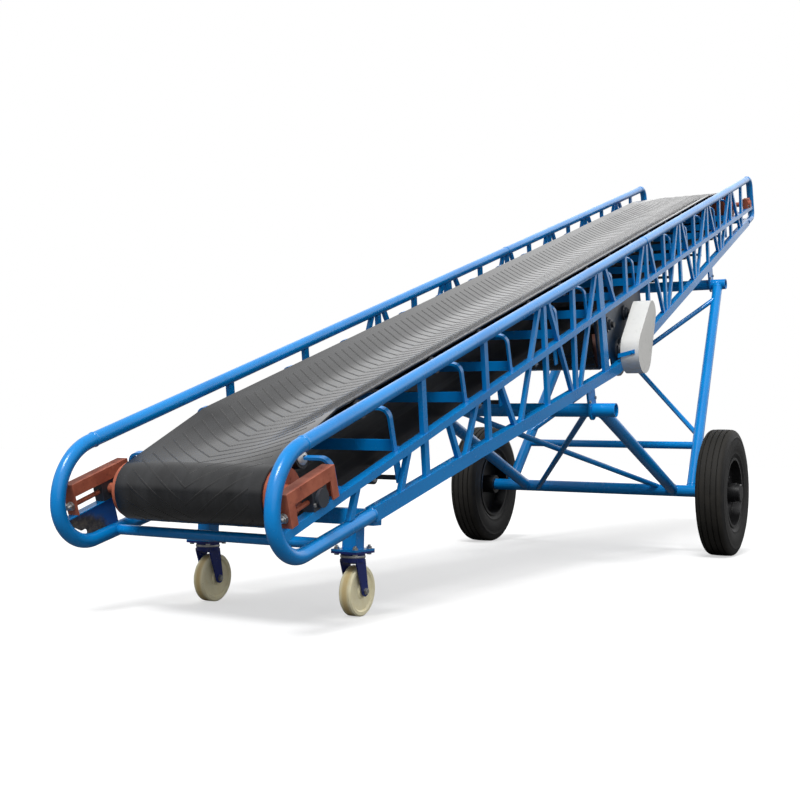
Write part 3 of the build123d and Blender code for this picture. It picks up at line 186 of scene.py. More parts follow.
# Bolts of the frame. A bolt's size is the unit of its proportions.
WASHER_REACH, WASHER_THICK = 1.05, 0.12
HEAD_REACH, HEAD_TOP_REACH, HEAD_HEIGHT, HEAD_BEVEL = 0.92, 0.80, 0.62, 0.1
SHANK_REACH, SHANK_TIP_REACH, SHANK_BEVEL = 0.5, 0.42, 0.08
FRAME_BOLT, BLOCK_BOLT = 0.010, 0.0075
BRACKET_SHIFT, BRACKET_THICK, BRACKET_BOLT_YS = 0.027, 0.005, (0.425, 0.380)
BLOCK_FACE_Y = 0.487
BLOCK_BOLT_SHIFT, BLOCK_BOLT_DROP = 0.039, 0.012
HANGER_FACE_Y = 0.471
HANGER_BOLT_SHIFT, HANGER_BOLT_RISE = 0.045, 0.058

# Take-up screws.
TAKEUP_START = 0.002
TAKEUP_SCREW_END = -0.022
TAKEUP_SINK = 0.0005
TAKEUP_NUT = 0.0165
THREAD_TURNS = 9
THREAD_CREST, THREAD_ROOT, THREAD_TIP = 0.0100, 0.0092, 0.0085

# Drive bearings and chain guard. The strap's ends are pairs of y and rise.
DRIVE_FACE_Y = 0.445
DRIVE_FLANGE, DRIVE_BORE = 0.075, 0.0255
BEND_FLANGE, BEND_BORE = 0.045, 0.0205
FLANGE_THICK, BOSS_START, BOSS_EDGE, BOSS_END = 0.008, 0.011, 0.024, 0.026
BOSS_BASE_SHARE, BOSS_TOP_SHARE = 0.72, 0.66
FLANGE_BOLT_CIRCLE, FLANGE_BOLT_SHARE = 0.85, 0.11
GUARD_TOP_U, GUARD_TOP_V = 3.770, -0.375
GUARD_LOW_U, GUARD_LOW_V = 3.555, -0.560
GUARD_LOW_RADIUS = 0.128
STRAP_TURN = math.radians(40.0)
STRAP_ENDS = ((-0.470, -0.012), (-0.572, 0.012))
STRAP_HALF, STRAP_SINK, STRAP_TOP = 0.012, 0.003, 0.004
STRAP_BOLT, STRAP_BOLT_Y, STRAP_BOLT_RISE = 0.007, -0.556, 0.008


def slope(u, v, y=0.0):
    """World point of slope coordinates."""
    return Vector((X_SHIFT, y, RAIL_HEIGHT)) + ALONG * u + ABOVE * v


def ground(x, y, z):
    """World point of a place measured along the ground from the tail."""
    return Vector((X_SHIFT + x, y, z))


def clamp(value):
    """A value held between 0 and 1."""
    return max(0.0, min(1.0, value))


# Finishes.
class Wire:
    """A shader value that takes part in arithmetic, each step of it a Math node."""

    def __init__(self, nodes, socket):
        self.nodes = nodes
        self.socket = socket

    def step(self, operation, first, second=0.0):
        return self.nodes.node("Math", {0: first, 1: second}, operation=operation)

    def __add__(self, other):
        return self.step("ADD", self, other)

    def __sub__(self, other):
        return self.step("SUBTRACT", self, other)

    def __rsub__(self, other):
        return self.step("SUBTRACT", other, self)

    def __mul__(self, other):
        return self.step("MULTIPLY", self, other)

    def __pow__(self, other):
        return self.step("POWER", self, other)

    def __abs__(self):
        return self.step("ABSOLUTE", self)

    __radd__ = __add__


class Nodes:
    """A node tree while it is being wired."""

    def __init__(self, tree):
        self.tree = tree

    def feed(self, socket, value):
        """Link a wire to a socket, or set a plain value on it."""
        if isinstance(value, Wire):
            self.tree.links.new(value.socket, socket)
        else:
            socket.default_value = value

    def node(self, kind, sockets=None, out=0, **settings):
        """Wire from one output of a new node that has settings and sockets to feed."""
        made = self.tree.nodes.new("ShaderNode" + kind)
        for name, value in settings.items():
            setattr(made, name, value)
        for name, value in (sockets or {}).items():
            self.feed(made.inputs[name], value)
        return Wire(self, made.outputs[out])

    def split(self, vector):
        """The x, y and z parts of a vector."""
        parts = self.node("SeparateXYZ", {"Vector": vector}).socket.node.outputs
        return [Wire(self, part) for part in parts]

    def spread(self, value, between, levels=(0.0, 1.0), kind="LINEAR"):
        """A value that goes from the first of two levels to the second between two bounds."""
        sockets = {
            "Value": value,
            "From Min": between[0],
            "From Max": between[1],
            "To Min": levels[0],
            "To Max": levels[1],
        }
        return self.node("MapRange", sockets, interpolation_type=kind)


class Finish(Nodes):
    """A procedural material while it is being made."""

    def __init__(self, name, **plain):
        self.material = bpy.data.materials.new(name)
        self.material.use_nodes = True
        super().__init__(self.material.node_tree)
        self.shader = self.tree.nodes["Principled BSDF"]
        for socket, value in plain.items():
            self.set(socket.replace("_", " "), value)

    def set(self, socket, value):
        """Feed a socket of the surface's shader."""
        self.feed(self.shader.inputs[socket], value)

    def place(self):
        """Coordinates that ride with the piece."""
        return self.node("TexCoord", out="Object")

    def noise(self, scale, detail, roughness=0.5, stretch=None):
        """Noise from 0 to 1 at a scale for each metre, stretched where a direction is given."""
        vector = self.place()
        if stretch:
            vector = self.node("Mapping", {"Vector": vector, "Scale": stretch})
        sockets = {"Vector": vector, "Scale": scale, "Detail": detail, "Roughness": roughness}
        return self.node("TexNoise", sockets)

    def soft(self, value, between):
        """A value that goes smoothly from 0 to 1 between two bounds."""
        return self.spread(value, between, kind="SMOOTHSTEP")

    def patches(self, scale, detail, roughness, between, stretch=None):
        """Noise drawn apart into patches between two bounds."""
        return self.soft(self.noise(scale, detail, roughness, stretch), between)

    def tint(self, share, first, second):
        """Mix of two colours by a share."""
        return self.node("Mix", {0: share, 6: first, 7: second}, out=2, data_type="RGBA")

    def bump(self, height, strength, distance):
        """Turn the surface's normal by a height."""
        sockets = {"Height": height, "Strength": strength, "Distance": distance}
        self.set("Normal", self.node("Bump", sockets))

    def from_centre(self, centre):
        """Parts of the way from a centre."""
        return [part - start for part, start in zip(self.split(self.place()), centre)]


def rgb(red, green, blue):
    """An opaque colour."""
    return (red, green, blue, 1.0)


def darker(colour):
    """A colour at about half its brightness."""
    return rgb(*(0.55 * part for part in colour[:3]))


def enamel(name, colour, shade, scuff, scuff_share=0.5, rough=0.24):
    """Sprayed gloss enamel: soft mottling, orange peel, and scuffs where it was handled."""
    finish = Finish(name, Coat_Weight=0.10, Coat_Roughness=0.08, Specular_IOR_Level=0.40)
    mottle = finish.patches(2.3, 4.0, 0.5, between=(0.35, 0.68))
    scuffs = finish.patches(9.0, 8.0, 0.72, between=(0.66, 0.74)) * scuff_share
    grime = finish.patches(31.0, 6.0, 0.65, between=(0.52, 0.80)) * 0.35
    base = finish.tint(mottle, colour, shade)
    base = finish.tint(grime, base, darker(shade))
    finish.set("Base Color", finish.tint(scuffs, base, scuff))
    finish.set("Roughness", rough + scuffs * 0.35 + grime * 0.2 + mottle * 0.05)
    finish.bump(finish.noise(420.0, 2.0), 0.06, 0.001)
    return finish.material


def belt_finish(name, dark, worn, rough, ripple):
    """Black cover rubber, streaked along the belt and dusty in patches, rippled toward the head."""
    finish = Finish(name, Specular_IOR_Level=0.62)
    streak = finish.patches(6.0, 5.0, 0.6, between=(0.35, 0.70), stretch=(0.35, 2.2, 0.35))
    dust = finish.patches(3.1, 7.0, 0.68, between=(0.48, 0.72))
    base = finish.tint(streak, dark, worn)
    finish.set("Base Color", finish.tint(dust * 0.35, base, rgb(0.040, 0.040, 0.039)))
    finish.set("Roughness", rough + dust * 0.05 + streak * 0.03)
    slack = finish.soft(finish.split(finish.place())[0], (RIPPLE_START_X, RIPPLE_FULL_X))
    waves = slack * finish.noise(3.2, 3.0, 0.55, stretch=(1.6, 0.6, 1.6)) * ripple
    finish.bump(finish.noise(700.0, 2.0) * 0.00001 + waves, 1.0, 1.0)
    return finish.material


def backing_finish():
    """Dull black running side of the belt, scuffed grey by the rollers in bands along it."""
    finish = Finish("belt_backing", Specular_IOR_Level=0.16)
    band = finish.patches(5.0, 5.0, 0.6, between=(0.45, 0.70), stretch=(0.15, 3.0, 0.15))
    black, grey = rgb(0.006, 0.006, 0.007), rgb(0.018, 0.018, 0.018)
    finish.set("Base Color", finish.tint(band * 0.6, black, grey))
    finish.set("Roughness", 0.62 - band * 0.10)
    finish.bump(finish.noise(900.0, 2.0), 0.10, 0.0004)
    return finish.material


def scorched_blue():
    """Blue enamel burnt grey-brown round the gusset's slot, where it was cut and welded."""
    finish = Finish("scorched_enamel", Specular_IOR_Level=0.40)
    x, _, z = finish.from_centre(slope(SLOT_U, SLOT_V))
    reach = (x * x * 0.30 + z * z * 1.3) ** 0.5 + finish.noise(22.0, 5.0, 0.65) * 0.06
    burn = 1 - finish.soft(reach, (0.090, 0.130))
    soot = finish.patches(60.0, 6.0, 0.7, between=(0.38, 0.66))
    char = finish.tint(soot, rgb(0.045, 0.043, 0.043), rgb(0.130, 0.110, 0.092))
    finish.set("Base Color", finish.tint(burn, rgb(0.006, 0.110, 0.420), char))
    finish.set("Roughness", 0.32 + burn * 0.33)
    finish.bump(finish.noise(300.0, 3.0), 0.10, 0.001)
    return finish.material


def tyre_finish(side, sign):
    """Black tyre rubber, dry and brown-grey on the tread, darker on the sidewall."""
    finish = Finish(f"tyre_rubber_{side}", Specular_IOR_Level=0.28)
    x, _, z = finish.from_centre(ground(AXLE_X, sign * WHEEL_Y, AXLE_HEIGHT))
    tread = finish.soft((x * x + z * z) ** 0.5, (0.372, 0.398))
    dust = finish.patches(14.0, 7.0, 0.7, between=(0.42, 0.75))
    base = finish.tint(tread, rgb(0.006, 0.006, 0.0065), rgb(0.013, 0.012, 0.010))
    finish.set("Base Color", finish.tint(dust * 0.3, base, rgb(0.038, 0.033, 0.027)))
    finish.set("Roughness", 0.58 + tread * 0.14 + dust * 0.12)
    finish.bump(finish.noise(520.0, 3.0), 0.15, 0.0008)
    return finish.material


def nylon_finish(side, sign):
    """Cream cast nylon with a brown stain worn into the tread."""
    finish = Finish(f"nylon_{side}")
    centre = ground(CASTER_X + CASTER_TRAIL, sign * CASTER_Y, CASTER_RADIUS)
    x, y, z = finish.from_centre(centre)
    blotch = finish.patches(38.0, 6.0, 0.66, between=(0.38, 0.70))
    tread = finish.soft((x * x + z * z) ** 0.5, (0.088, 0.0945))
    middle = (1 - finish.soft(abs(y), (0.004, 0.019))) * tread
    base = finish.tint(blotch * 0.4, rgb(0.94, 0.87, 0.60), rgb(0.84, 0.73, 0.42))
    base = finish.tint(middle * 0.70, base, rgb(0.62, 0.43, 0.14))
    speck = finish.patches(210.0, 3.0, 0.5, between=(0.68, 0.74)) * 0.5
    finish.set("Base Color", finish.tint(speck, base, rgb(0.16, 0.12, 0.07)))
    finish.set("Roughness", 0.42 + blotch * 0.12 + middle * 0.2)
    finish.bump(finish.noise(160.0, 3.0), 0.08, 0.001)
    return finish.material


def primer(name, painted_shade):
    """Flat red-oxide primer, patchy and streaked with rust, darkened toward black by a share of
    painted shade.
    """
    finish = Finish(name, Specular_IOR_Level=0.35)
    patch = finish.patches(13.0, 6.0, 0.62, between=(0.36, 0.68))
    rust = finish.patches(44.0, 8.0, 0.7, between=(0.56, 0.72))
    base = finish.tint(patch, rgb(0.41, 0.115, 0.062), rgb(0.28, 0.068, 0.037))
    base = finish.tint(rust * 0.6, base, rgb(0.085, 0.030, 0.018))
    # Painted shade: the primer is blended toward near-black by this share.
    darkening = painted_shade - patch * painted_shade * 0.1
    finish.set("Base Color", finish.tint(darkening, base, rgb(0.012, 0.011, 0.010)))
    finish.set("Roughness", 0.55 + patch * 0.12 + rust * 0.14)
    finish.bump(finish.noise(260.0, 4.0), 0.12, 0.001)
    return finish.material


def steel(name, colour, rough, metal=1.0):
    """Bare or plated steel with handling marks."""
    finish = Finish(name, Metallic=metal)
    darkening = finish.patches(55.0, 6.0, 0.65, between=(0.35, 0.72))
    finish.set("Base Color", finish.tint(darkening * 0.6, colour, darker(colour)))
    finish.set("Roughness", rough + darkening * 0.18)
    finish.bump(finish.noise(640.0, 2.0), 0.05, 0.0005)
    return finish.material


BLUE = enamel(
    "blue_enamel",
    colour=rgb(0.001, 0.220, 0.600),
    shade=rgb(0.001, 0.178, 0.510),
    scuff=rgb(0.12, 0.28, 0.42),
    scuff_share=0.30,
)
NAVY = enamel(
    "navy_enamel",
    colour=rgb(0.008, 0.026, 0.210),
    shade=rgb(0.006, 0.016, 0.130),
    scuff=rgb(0.10, 0.12, 0.22),
)
# Painted shade: blue enamel darkened nearly to black for the drive plates, which sit in shade.
SHADE_DARK_ENAMEL = enamel(
    "shade_dark_enamel",
    colour=rgb(0.003, 0.030, 0.080),
    shade=rgb(0.004, 0.008, 0.014),
    scuff=rgb(0.02, 0.05, 0.09),
    rough=0.34,
)
RIM = enamel(
    "rim_black",
    colour=rgb(0.006, 0.006, 0.007),
    shade=rgb(0.010, 0.010, 0.011),
    scuff=rgb(0.05, 0.048, 0.045),
    rough=0.42,
)
GUARD = enamel(
    "guard_grey",
    colour=rgb(0.67, 0.665, 0.645),
    shade=rgb(0.61, 0.61, 0.59),
    scuff=rgb(0.34, 0.33, 0.31),
    scuff_share=0.4,
    rough=0.34,
)
ROLLER = enamel(
    "roller_black",
    colour=rgb(0.008, 0.008, 0.009),
    shade=rgb(0.014, 0.014, 0.015),
    scuff=rgb(0.07, 0.07, 0.07),
    scuff_share=0.6,
    rough=0.46,
)
MACHINE = enamel(
    "machine_dark",
    colour=rgb(0.035, 0.042, 0.055),
    shade=rgb(0.022, 0.026, 0.034),
    scuff=rgb(0.12, 0.12, 0.12),
    rough=0.42,
)
BELT = belt_finish(
    "belt_cover_rubber",
    dark=rgb(0.008, 0.0085, 0.0095),
    worn=rgb(0.016, 0.017, 0.019),
    rough=0.18,
    ripple=0.006,
)
# The ribs' rubber is a little darker than the cover's: painted shade that draws the ribs as dark
# lines.
RIBS = belt_finish(
    "belt_rib_rubber",
    dark=rgb(0.006, 0.006, 0.007),
    worn=rgb(0.012, 0.012, 0.013),
    rough=0.36,
    ripple=0.0,
)
BACKING = backing_finish()
SCORCHED = scorched_blue()
PRIMER = primer("red_oxide_primer", painted_shade=0.0)
# Painted shade: primer darkened nearly to black for the drive drum, which sits in shade.
SHADE_DARK_PRIMER = primer("shade_dark_primer", painted_shade=0.85)
ZINC = steel("zinc_plate", rgb(0.56, 0.56, 0.55), rough=0.30)
CAP = steel("cap_grey", rgb(0.72, 0.71, 0.68), rough=0.32, metal=0.55)
BOLT = steel("dark_bolt", rgb(0.16, 0.16, 0.17), rough=0.38)
TYRES = {side: tyre_finish(side, sign) for side, sign in SIDES}
NYLONS = {side: nylon_finish(side, sign) for side, sign in SIDES}

# The finish of a solid is its own, or goes by its slot and side, or by its slot alone.
# The drive plates and the drive drum take painted shade, near-black finishes for where the drive
# sits in shade.
OWN_PAINTS = {"tail_gusset": SCORCHED, "drive_plates": SHADE_DARK_ENAMEL, "drive_drum": SHADE_DARK_PRIMER}
SIDED_PAINTS = {"tyre_rubber": TYRES, "nylon": NYLONS}
PAINTS = {
    "blue_paint": BLUE,
    "navy_paint": NAVY,
    "belt_rubber": BELT,
    "rim_black": RIM,
    "red_oxide": PRIMER,
    "roller_black": ROLLER,
    "machine_dark": MACHINE,
    "guard_grey": GUARD,
}


# Mesh making.
class Stock:
    """Points and faces of a piece while it is being made."""

    def __init__(self):
        self.points = []
        self.faces = []

    def skin(self, rings, ends=False):
        """Faces between rings of equally many points; ends closes the first and the last ring."""
        first = len(self.points)
        width = len(rings[0])
        for ring in rings:
            self.points.extend(ring)
        for i in range(len(rings) - 1):
            for j in range(width):
                a, b = first + i * width + j, first + i * width + (j + 1) % width
                self.faces.append((a, b, b + width, a + width))
        if ends:
            self.faces.append(tuple(first + j for j in reversed(range(width))))
            last = first + (len(rings) - 1) * width
            self.faces.append(tuple(last + j for j in range(width)))

    def lathe(self, centre, axis, profile, segments, closed=False):
        """Turned form about an axis, from a profile of distances along it and radii.

        Closed joins the profile's last point to its first.
        """
        axis = axis.normalized()
        side = axis.orthogonal().normalized()
        other = axis.cross(side)
        angles = [2 * math.pi * k / segments for k in range(segments)]
        spokes = [side * math.cos(angle) + other * math.sin(angle) for angle in angles]
        outline = [*profile, profile[0]] if closed else profile
        rings = []
        for along, radius in outline:
            rings.append([centre + axis * along + spoke * radius for spoke in spokes])
        self.skin(rings, ends=not closed)

    def hex_bolt(self, seat, axis, size, washer=True, shank=0.0):
        """Hexagon head on a seat, with a washer, and the shank's end where it stands proud."""
        start = 0.0
        if washer:
            start = WASHER_THICK * size
            self.lathe(seat, axis, [(0, WASHER_REACH * size), (start, WASHER_REACH * size)], 20)
        top, reach = start + HEAD_HEIGHT * size, HEAD_REACH * size
        bevel = (top - HEAD_BEVEL * size, reach)
        self.lathe(seat, axis, [(start, reach), bevel, (top, HEAD_TOP_REACH * size)], 6)
        if shank:
            end, reach = top + shank, SHANK_REACH * size
            bevel = (end - SHANK_BEVEL * size, reach)
            self.lathe(seat, axis, [(top, reach), bevel, (end, SHANK_TIP_REACH * size)], 12)

    def weld_ring(self, centre, axis, radius):
        """Rounded bead of weld round a tube."""
        bead = [(along, radius + swell) for along, swell in WELD_BEAD]
        self.lathe(centre, axis, bead, 36, closed=True)

    def piece(self, name, paint, body, slot=None, smooth=35.0, replaces=()):
        """Finished object that rides on a body; the slot it is given is not used."""
        mesh = bpy.data.meshes.new(name)
        mesh.from_pydata([tuple(p) for p in self.points], [], self.faces)
        mesh.validate()
        mesh.shade_smooth()
        mesh.set_sharp_from_angle(angle=math.radians(smooth))
        mesh.materials.append(paint)
        made = bpy.data.objects.new(name, mesh)
        bpy.context.scene.collection.objects.link(made)
        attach(made, body)
        if replaces:
            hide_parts(*replaces)
        return made


# Belt: one endless cover on a loop of runs, its ribs raised on the outer face.
Line = namedtuple("Line", "u v end_u end_v")
Arc = namedtuple("Arc", "u v radius start turn")

OUTER = DRUM_RADIUS + BELT_THICK
RETURN_V = DRUM_V - OUTER
BEND_V = RETURN_V - BEND_RADIUS
BEND_REACH = OUTER + BEND_RADIUS
LOOP_RUNS = (
    Line(TAIL_DRUM_U, DRUM_V + OUTER, HEAD_DRUM_U, DRUM_V + OUTER),
    Arc(HEAD_DRUM_U, DRUM_V, OUTER, QUARTER, -math.pi),
    Line(HEAD_DRUM_U, RETURN_V, DRIVE_U + BEND_REACH, RETURN_V),
    Arc(DRIVE_U + BEND_REACH, BEND_V, BEND_RADIUS, QUARTER, QUARTER),
    Line(DRIVE_U + OUTER, BEND_V, DRIVE_U + OUTER, DRIVE_V),
    Arc(DRIVE_U, DRIVE_V, OUTER, 0.0, -math.pi),
    Line(DRIVE_U - OUTER, DRIVE_V, DRIVE_U - OUTER, BEND_V),
    Arc(DRIVE_U - BEND_REACH, BEND_V, BEND_RADIUS, 0.0, QUARTER),
    Line(DRIVE_U - BEND_REACH, RETURN_V, TAIL_DRUM_U, RETURN_V),
    Arc(TAIL_DRUM_U, DRUM_V, OUTER, -QUARTER, -math.pi),
)


def run_length(run):
    """Length of one run of the loop."""
    if isinstance(run, Line):
        return math.hypot(run.end_u - run.u, run.end_v - run.v)
    return abs(run.radius * run.turn)


RUN_STARTS = [sum(run_length(run) for run in LOOP_RUNS[:i]) for i in range(len(LOOP_RUNS))]
LOOP_LENGTH = sum(run_length(run) for run in LOOP_RUNS)
CARRY_LENGTH = HEAD_DRUM_U - TAIL_DRUM_U


def loop_place(s):
    """Outer-face point and outward direction of the loop, in u and v, at a distance along it."""
    s = s % LOOP_LENGTH
    index = max(i for i, start in enumerate(RUN_STARTS) if start <= s)
    run, along = LOOP_RUNS[index], s - RUN_STARTS[index]
    if isinstance(run, Line):
        share = along / run_length(run)
        reach_u, reach_v = run.end_u - run.u, run.end_v - run.v
        nu, nv = -reach_v / run_length(run), reach_u / run_length(run)
        return run.u + share * reach_u, run.v + share * reach_v, nu, nv
    angle = run.start + math.copysign(along / run.radius, run.turn)
    nu, nv = math.cos(angle), math.sin(angle)
    outward = 1 if run.turn < 0 else -1
    return run.u + run.radius * nu, run.v + run.radius * nv, outward * nu, outward * nv


def trough_share(u):
    """How far the trough is open at u: 0 at the drums, 1 between them."""
    opening = (u - TAIL_DRUM_U) / (TROUGH_START - TAIL_DRUM_U)
    closing = (HEAD_DRUM_U - u) / (HEAD_DRUM_U - TROUGH_END)
    return clamp(min(opening, closing))


def trough_lift(u, t):
    """How far the wing stands above the carrying run's flat middle, at u and the cross place t."""
    past = abs(t) - BELT_FLAT_HALF
    rise = TROUGH_RISE * trough_share(u) / BELT_WING
    if past < -FOLD_BLEND:
        return 0.0
    if past > FOLD_BLEND:
        return rise * past
    return rise * (past + FOLD_BLEND) ** 2 / (4 * FOLD_BLEND)


def belt_point(s, t, lift):
    """World point on the belt's outer face, at s along the loop and t across, raised by a lift."""
    u, v, nu, nv = loop_place(s)
    narrow = 1.0
    if s % LOOP_LENGTH < CARRY_LENGTH:
        v += trough_lift(u, t)
        narrow -= WING_NARROWING * min(1.0, trough_lift(u, BELT_HALF) / TROUGH_RISE)
    past = abs(t) - BELT_FLAT_HALF
    y = t if past < 0 else math.copysign(BELT_FLAT_HALF + past * narrow, t)
    return slope(u + nu * lift, v + nv * lift, y)


def even(start, length, steps):
    """Evenly spaced distances over a length, without its end."""
    return [start + length * i / steps for i in range(steps)]


def belt_stations():
    """Places along the loop of the belt's sections, closer on arcs and where the trough opens."""
    stations = []
    for start, end, step in (
        (TAIL_DRUM_U, TROUGH_START, FINE_STEP),
        (TROUGH_START, TROUGH_END, PLAIN_STEP),
        (TROUGH_END, HEAD_DRUM_U, FINE_STEP),
    ):
        stations += even(start - TAIL_DRUM_U, end - start, round((end - start) / step))
    for start, run in list(zip(RUN_STARTS, LOOP_RUNS))[1:]:
        if isinstance(run, Line):
            steps = max(2, round(run_length(run) / PLAIN_STEP))
        else:
            steps = max(8, round(abs(run.turn) / TURN_STEP))
        stations += even(start, run_length(run), steps)
    return stations


def make_belt():
    """Belt cover with rounded edges, its inner faces in the backing's finish."""
    half = [BELT_HALF, BELT_HALF - BELT_EDGE, *BELT_PLACES]
    across = [-t for t in half] + [0.0] + half[::-1]
    drops = [BELT_EDGE if abs(t) == BELT_HALF else 0.0 for t in across]
    rings = []
    for s in belt_stations():
        upper = [belt_point(s, t, -drop) for t, drop in zip(across, drops)]
        under = [belt_point(s, t, drop - BELT_THICK) for t, drop in zip(across, drops)]
        rings.append(upper + under[::-1])
    cover = Stock()
    cover.skin(rings + rings[:1])
    replaced = ("belt_carry", "belt_return")
    belt = cover.piece("belt_cover", BELT, "frame", "belt_rubber", 40.0, replaced)
    belt.data.materials.append(BACKING)
    width = 2 * len(across)
    for face in belt.data.polygons:
        if face.index % width in range(len(across), width - 1):
            face.material_index = 1


def rib_height(s):
    """Rib height along the loop: low round the tail drum, and flat where a roller presses on it."""
    u, v, _, nv = loop_place(s)
    standing = RIB_WORN_SHARE
    faces_down = nv < -0.5
    if faces_down:
        nearest = min(abs(u - roller) for roller in RETURN_US)
        standing = clamp(nearest / PRESS_REACH - PRESS_FLAT)
    if abs(u - DRIVE_U) < BEND_REACH + LOOP_MARGIN_U and v < RETURN_V + LOOP_MARGIN_V:
        standing = 0.0 if v > DRIVE_V else RIB_WORN_SHARE
    fade = RIB_TAIL_SHARE + (1 - RIB_TAIL_SHARE) * clamp((u - TAIL_DRUM_U) / RIB_FADE)
    return RIB_LEAST + RIB_HEIGHT * fade * standing


def make_ribs():
    """Chevron ribs, each of two arms that meet in the middle of the belt."""
    ribs = Stock()
    count = round(LOOP_LENGTH / RIB_PITCH)
    pitch = LOOP_LENGTH / count
    for i in range(count):
        for sign in SIGNS:
            rings = []
            for k in range(RIB_STEPS + 1):
                t = RIB_HALF * k / RIB_STEPS
                s = i * pitch + t * RIB_SWEEP
                top = rib_height(s)
                section = (
                    (-RIB_BASE, -RIB_SINK),
                    (-RIB_TOP, top),
                    (RIB_TOP, top),
                    (RIB_BASE, -RIB_SINK),
                )
                ring = [belt_point(s + shift, sign * t, lift) for shift, lift in section]
                rings.append(ring if sign > 0 else ring[::-1])
            ribs.skin(rings, ends=True)
    ribs.piece("belt_ribs", RIBS, "frame", "belt_rubber", 30.0)


def make_tyres():
    """Road tyres: rounded sidewalls with rings, and ribs round the tread."""
    half = list(TYRE_SIDE)
    for groove in GROOVES:
        crown = TYRE_RADIUS - TREAD_CROWN * groove * groove
        half += [(groove + GROOVE_MOUTH, crown), (groove + GROOVE_FLOOR, crown - GROOVE_DEPTH)]
        half += [(groove - GROOVE_FLOOR, crown - GROOVE_DEPTH), (groove - GROOVE_MOUTH, crown)]
    whole = half + [(-along, radius) for along, radius in reversed(half)]
    for side, sign in SIDES:
        tyre = Stock()
        tyre.lathe(ground(AXLE_X, sign * WHEEL_Y, AXLE_HEIGHT), ACROSS, whole, 128, closed=True)
        name, body, replaced = f"road_tyre_{side}", f"wheel_{side}", (f"tyre_{side}",)
        tyre.piece(name, TYRES[side], body, "tyre_rubber", 40.0, replaced)


# Fittings: roller caps, fasteners, screws and weld beads.
def wing_end(u):
    """Outer end of the left wing roller's axis at u, as cross place and v, and the axis's angle."""
    angle = math.radians(WING_LEAST_ANGLE + trough_share(u) * (TROUGH_ANGLE - WING_LEAST_ANGLE))
    offset = ROLLER_RADIUS + ROLLER_GAP
    start_y = WING_START_Y + WING_START_SHIFT * math.sin(angle)
    fold_y = BELT_FLAT_HALF + offset * math.sin(angle)
    fold_v = BELT_CENTRE_V - offset * math.cos(angle)
    along = (start_y - fold_y) / math.cos(angle) + ROLLER_END
    return fold_y + along * math.cos(angle), fold_v + along * math.sin(angle), angle


def make_roller_caps():
    """Domed caps on the outer ends of the wing rollers and of the return rollers."""
    caps = Stock()
    for u in IDLER_US:
        for sign in SIGNS:
            y, v, angle = wing_end(u)
            outward = ACROSS * sign * math.cos(angle) + ABOVE * math.sin(angle)
            caps.lathe(slope(u, v, sign * y), outward, CAP_DOME, 28)
    small = [(along, radius * RETURN_CAP_SHARE) for along, radius in CAP_DOME]
    for u in RETURN_US:
        for sign in SIGNS:
            caps.lathe(slope(u, RETURN_ROLLER_V, sign * RETURN_HALF), ACROSS * sign, small, 24)
    caps.piece("roller_caps", CAP, "frame")


def make_frame_bolts():
    """Bolts of the idler brackets, the drums' bearing blocks, the hangers and the caster plates."""
    bolts = Stock()
    for u in IDLER_US:
        for sign in SIGNS:
            for y in BRACKET_BOLT_YS:
                seat = slope(u + BRACKET_SHIFT, MID_TOP + BRACKET_THICK, sign * y)
                bolts.hex_bolt(seat, ABOVE, FRAME_BOLT)
    for drum_u in (TAIL_DRUM_U, HEAD_DRUM_U):
        for sign in SIGNS:
            for end in SIGNS:
                u, v = drum_u + end * BLOCK_BOLT_SHIFT, DRUM_V - BLOCK_BOLT_DROP
                bolts.hex_bolt(slope(u, v, sign * BLOCK_FACE_Y), ACROSS * sign, BLOCK_BOLT)
    for x, z in ((FRONT_X, FRONT_Z), (REAR_X, REAR_Z)):
        for sign in SIGNS:
            for end in SIGNS:
                shift = ALONG * (end * HANGER_BOLT_SHIFT)
                seat = ground(x, sign * HANGER_FACE_Y, z) + shift + ABOVE * HANGER_BOLT_RISE
                bolts.hex_bolt(seat, ACROSS * sign, FRAME_BOLT)
    for sign in SIGNS:
        for end in SIGNS:
            for edge in SIGNS:
                x, y = CASTER_X + end * CASTER_BOLT_X, sign * CASTER_Y + edge * CASTER_BOLT_Y
                seat = ground(x, y, PLATE_TOP)
                bolts.hex_bolt(seat, UP, CASTER_BOLT, shank=CASTER_SHANK)
                bolts.hex_bolt(seat - UP * PLATE_THICK, -UP, CASTER_NUT, washer=False)
    bolts.piece("frame_bolts", ZINC, "frame")


def make_takeup_screws():
    """Nuts and threaded ends of the take-up screws at the tail."""
    screws = Stock()
    length = TAKEUP_START - TAKEUP_SCREW_END + TAKEUP_SINK
    thread = [(0.0, THREAD_ROOT)]
    for i in range(THREAD_TURNS):
        base = length * i / THREAD_TURNS
        thread.append((base + 0.25 * length / THREAD_TURNS, THREAD_CREST))
        thread.append((base + 0.75 * length / THREAD_TURNS, THREAD_ROOT))
    thread.append((length, THREAD_TIP))
    for sign in SIGNS:
        seat = slope(TAKEUP_START, DRUM_V, sign * RAIL_Y)
        screws.hex_bolt(seat, -ALONG, TAKEUP_NUT)
        screws.lathe(seat, -ALONG, thread, 20)
    screws.piece("takeup_screws", ZINC, "frame")


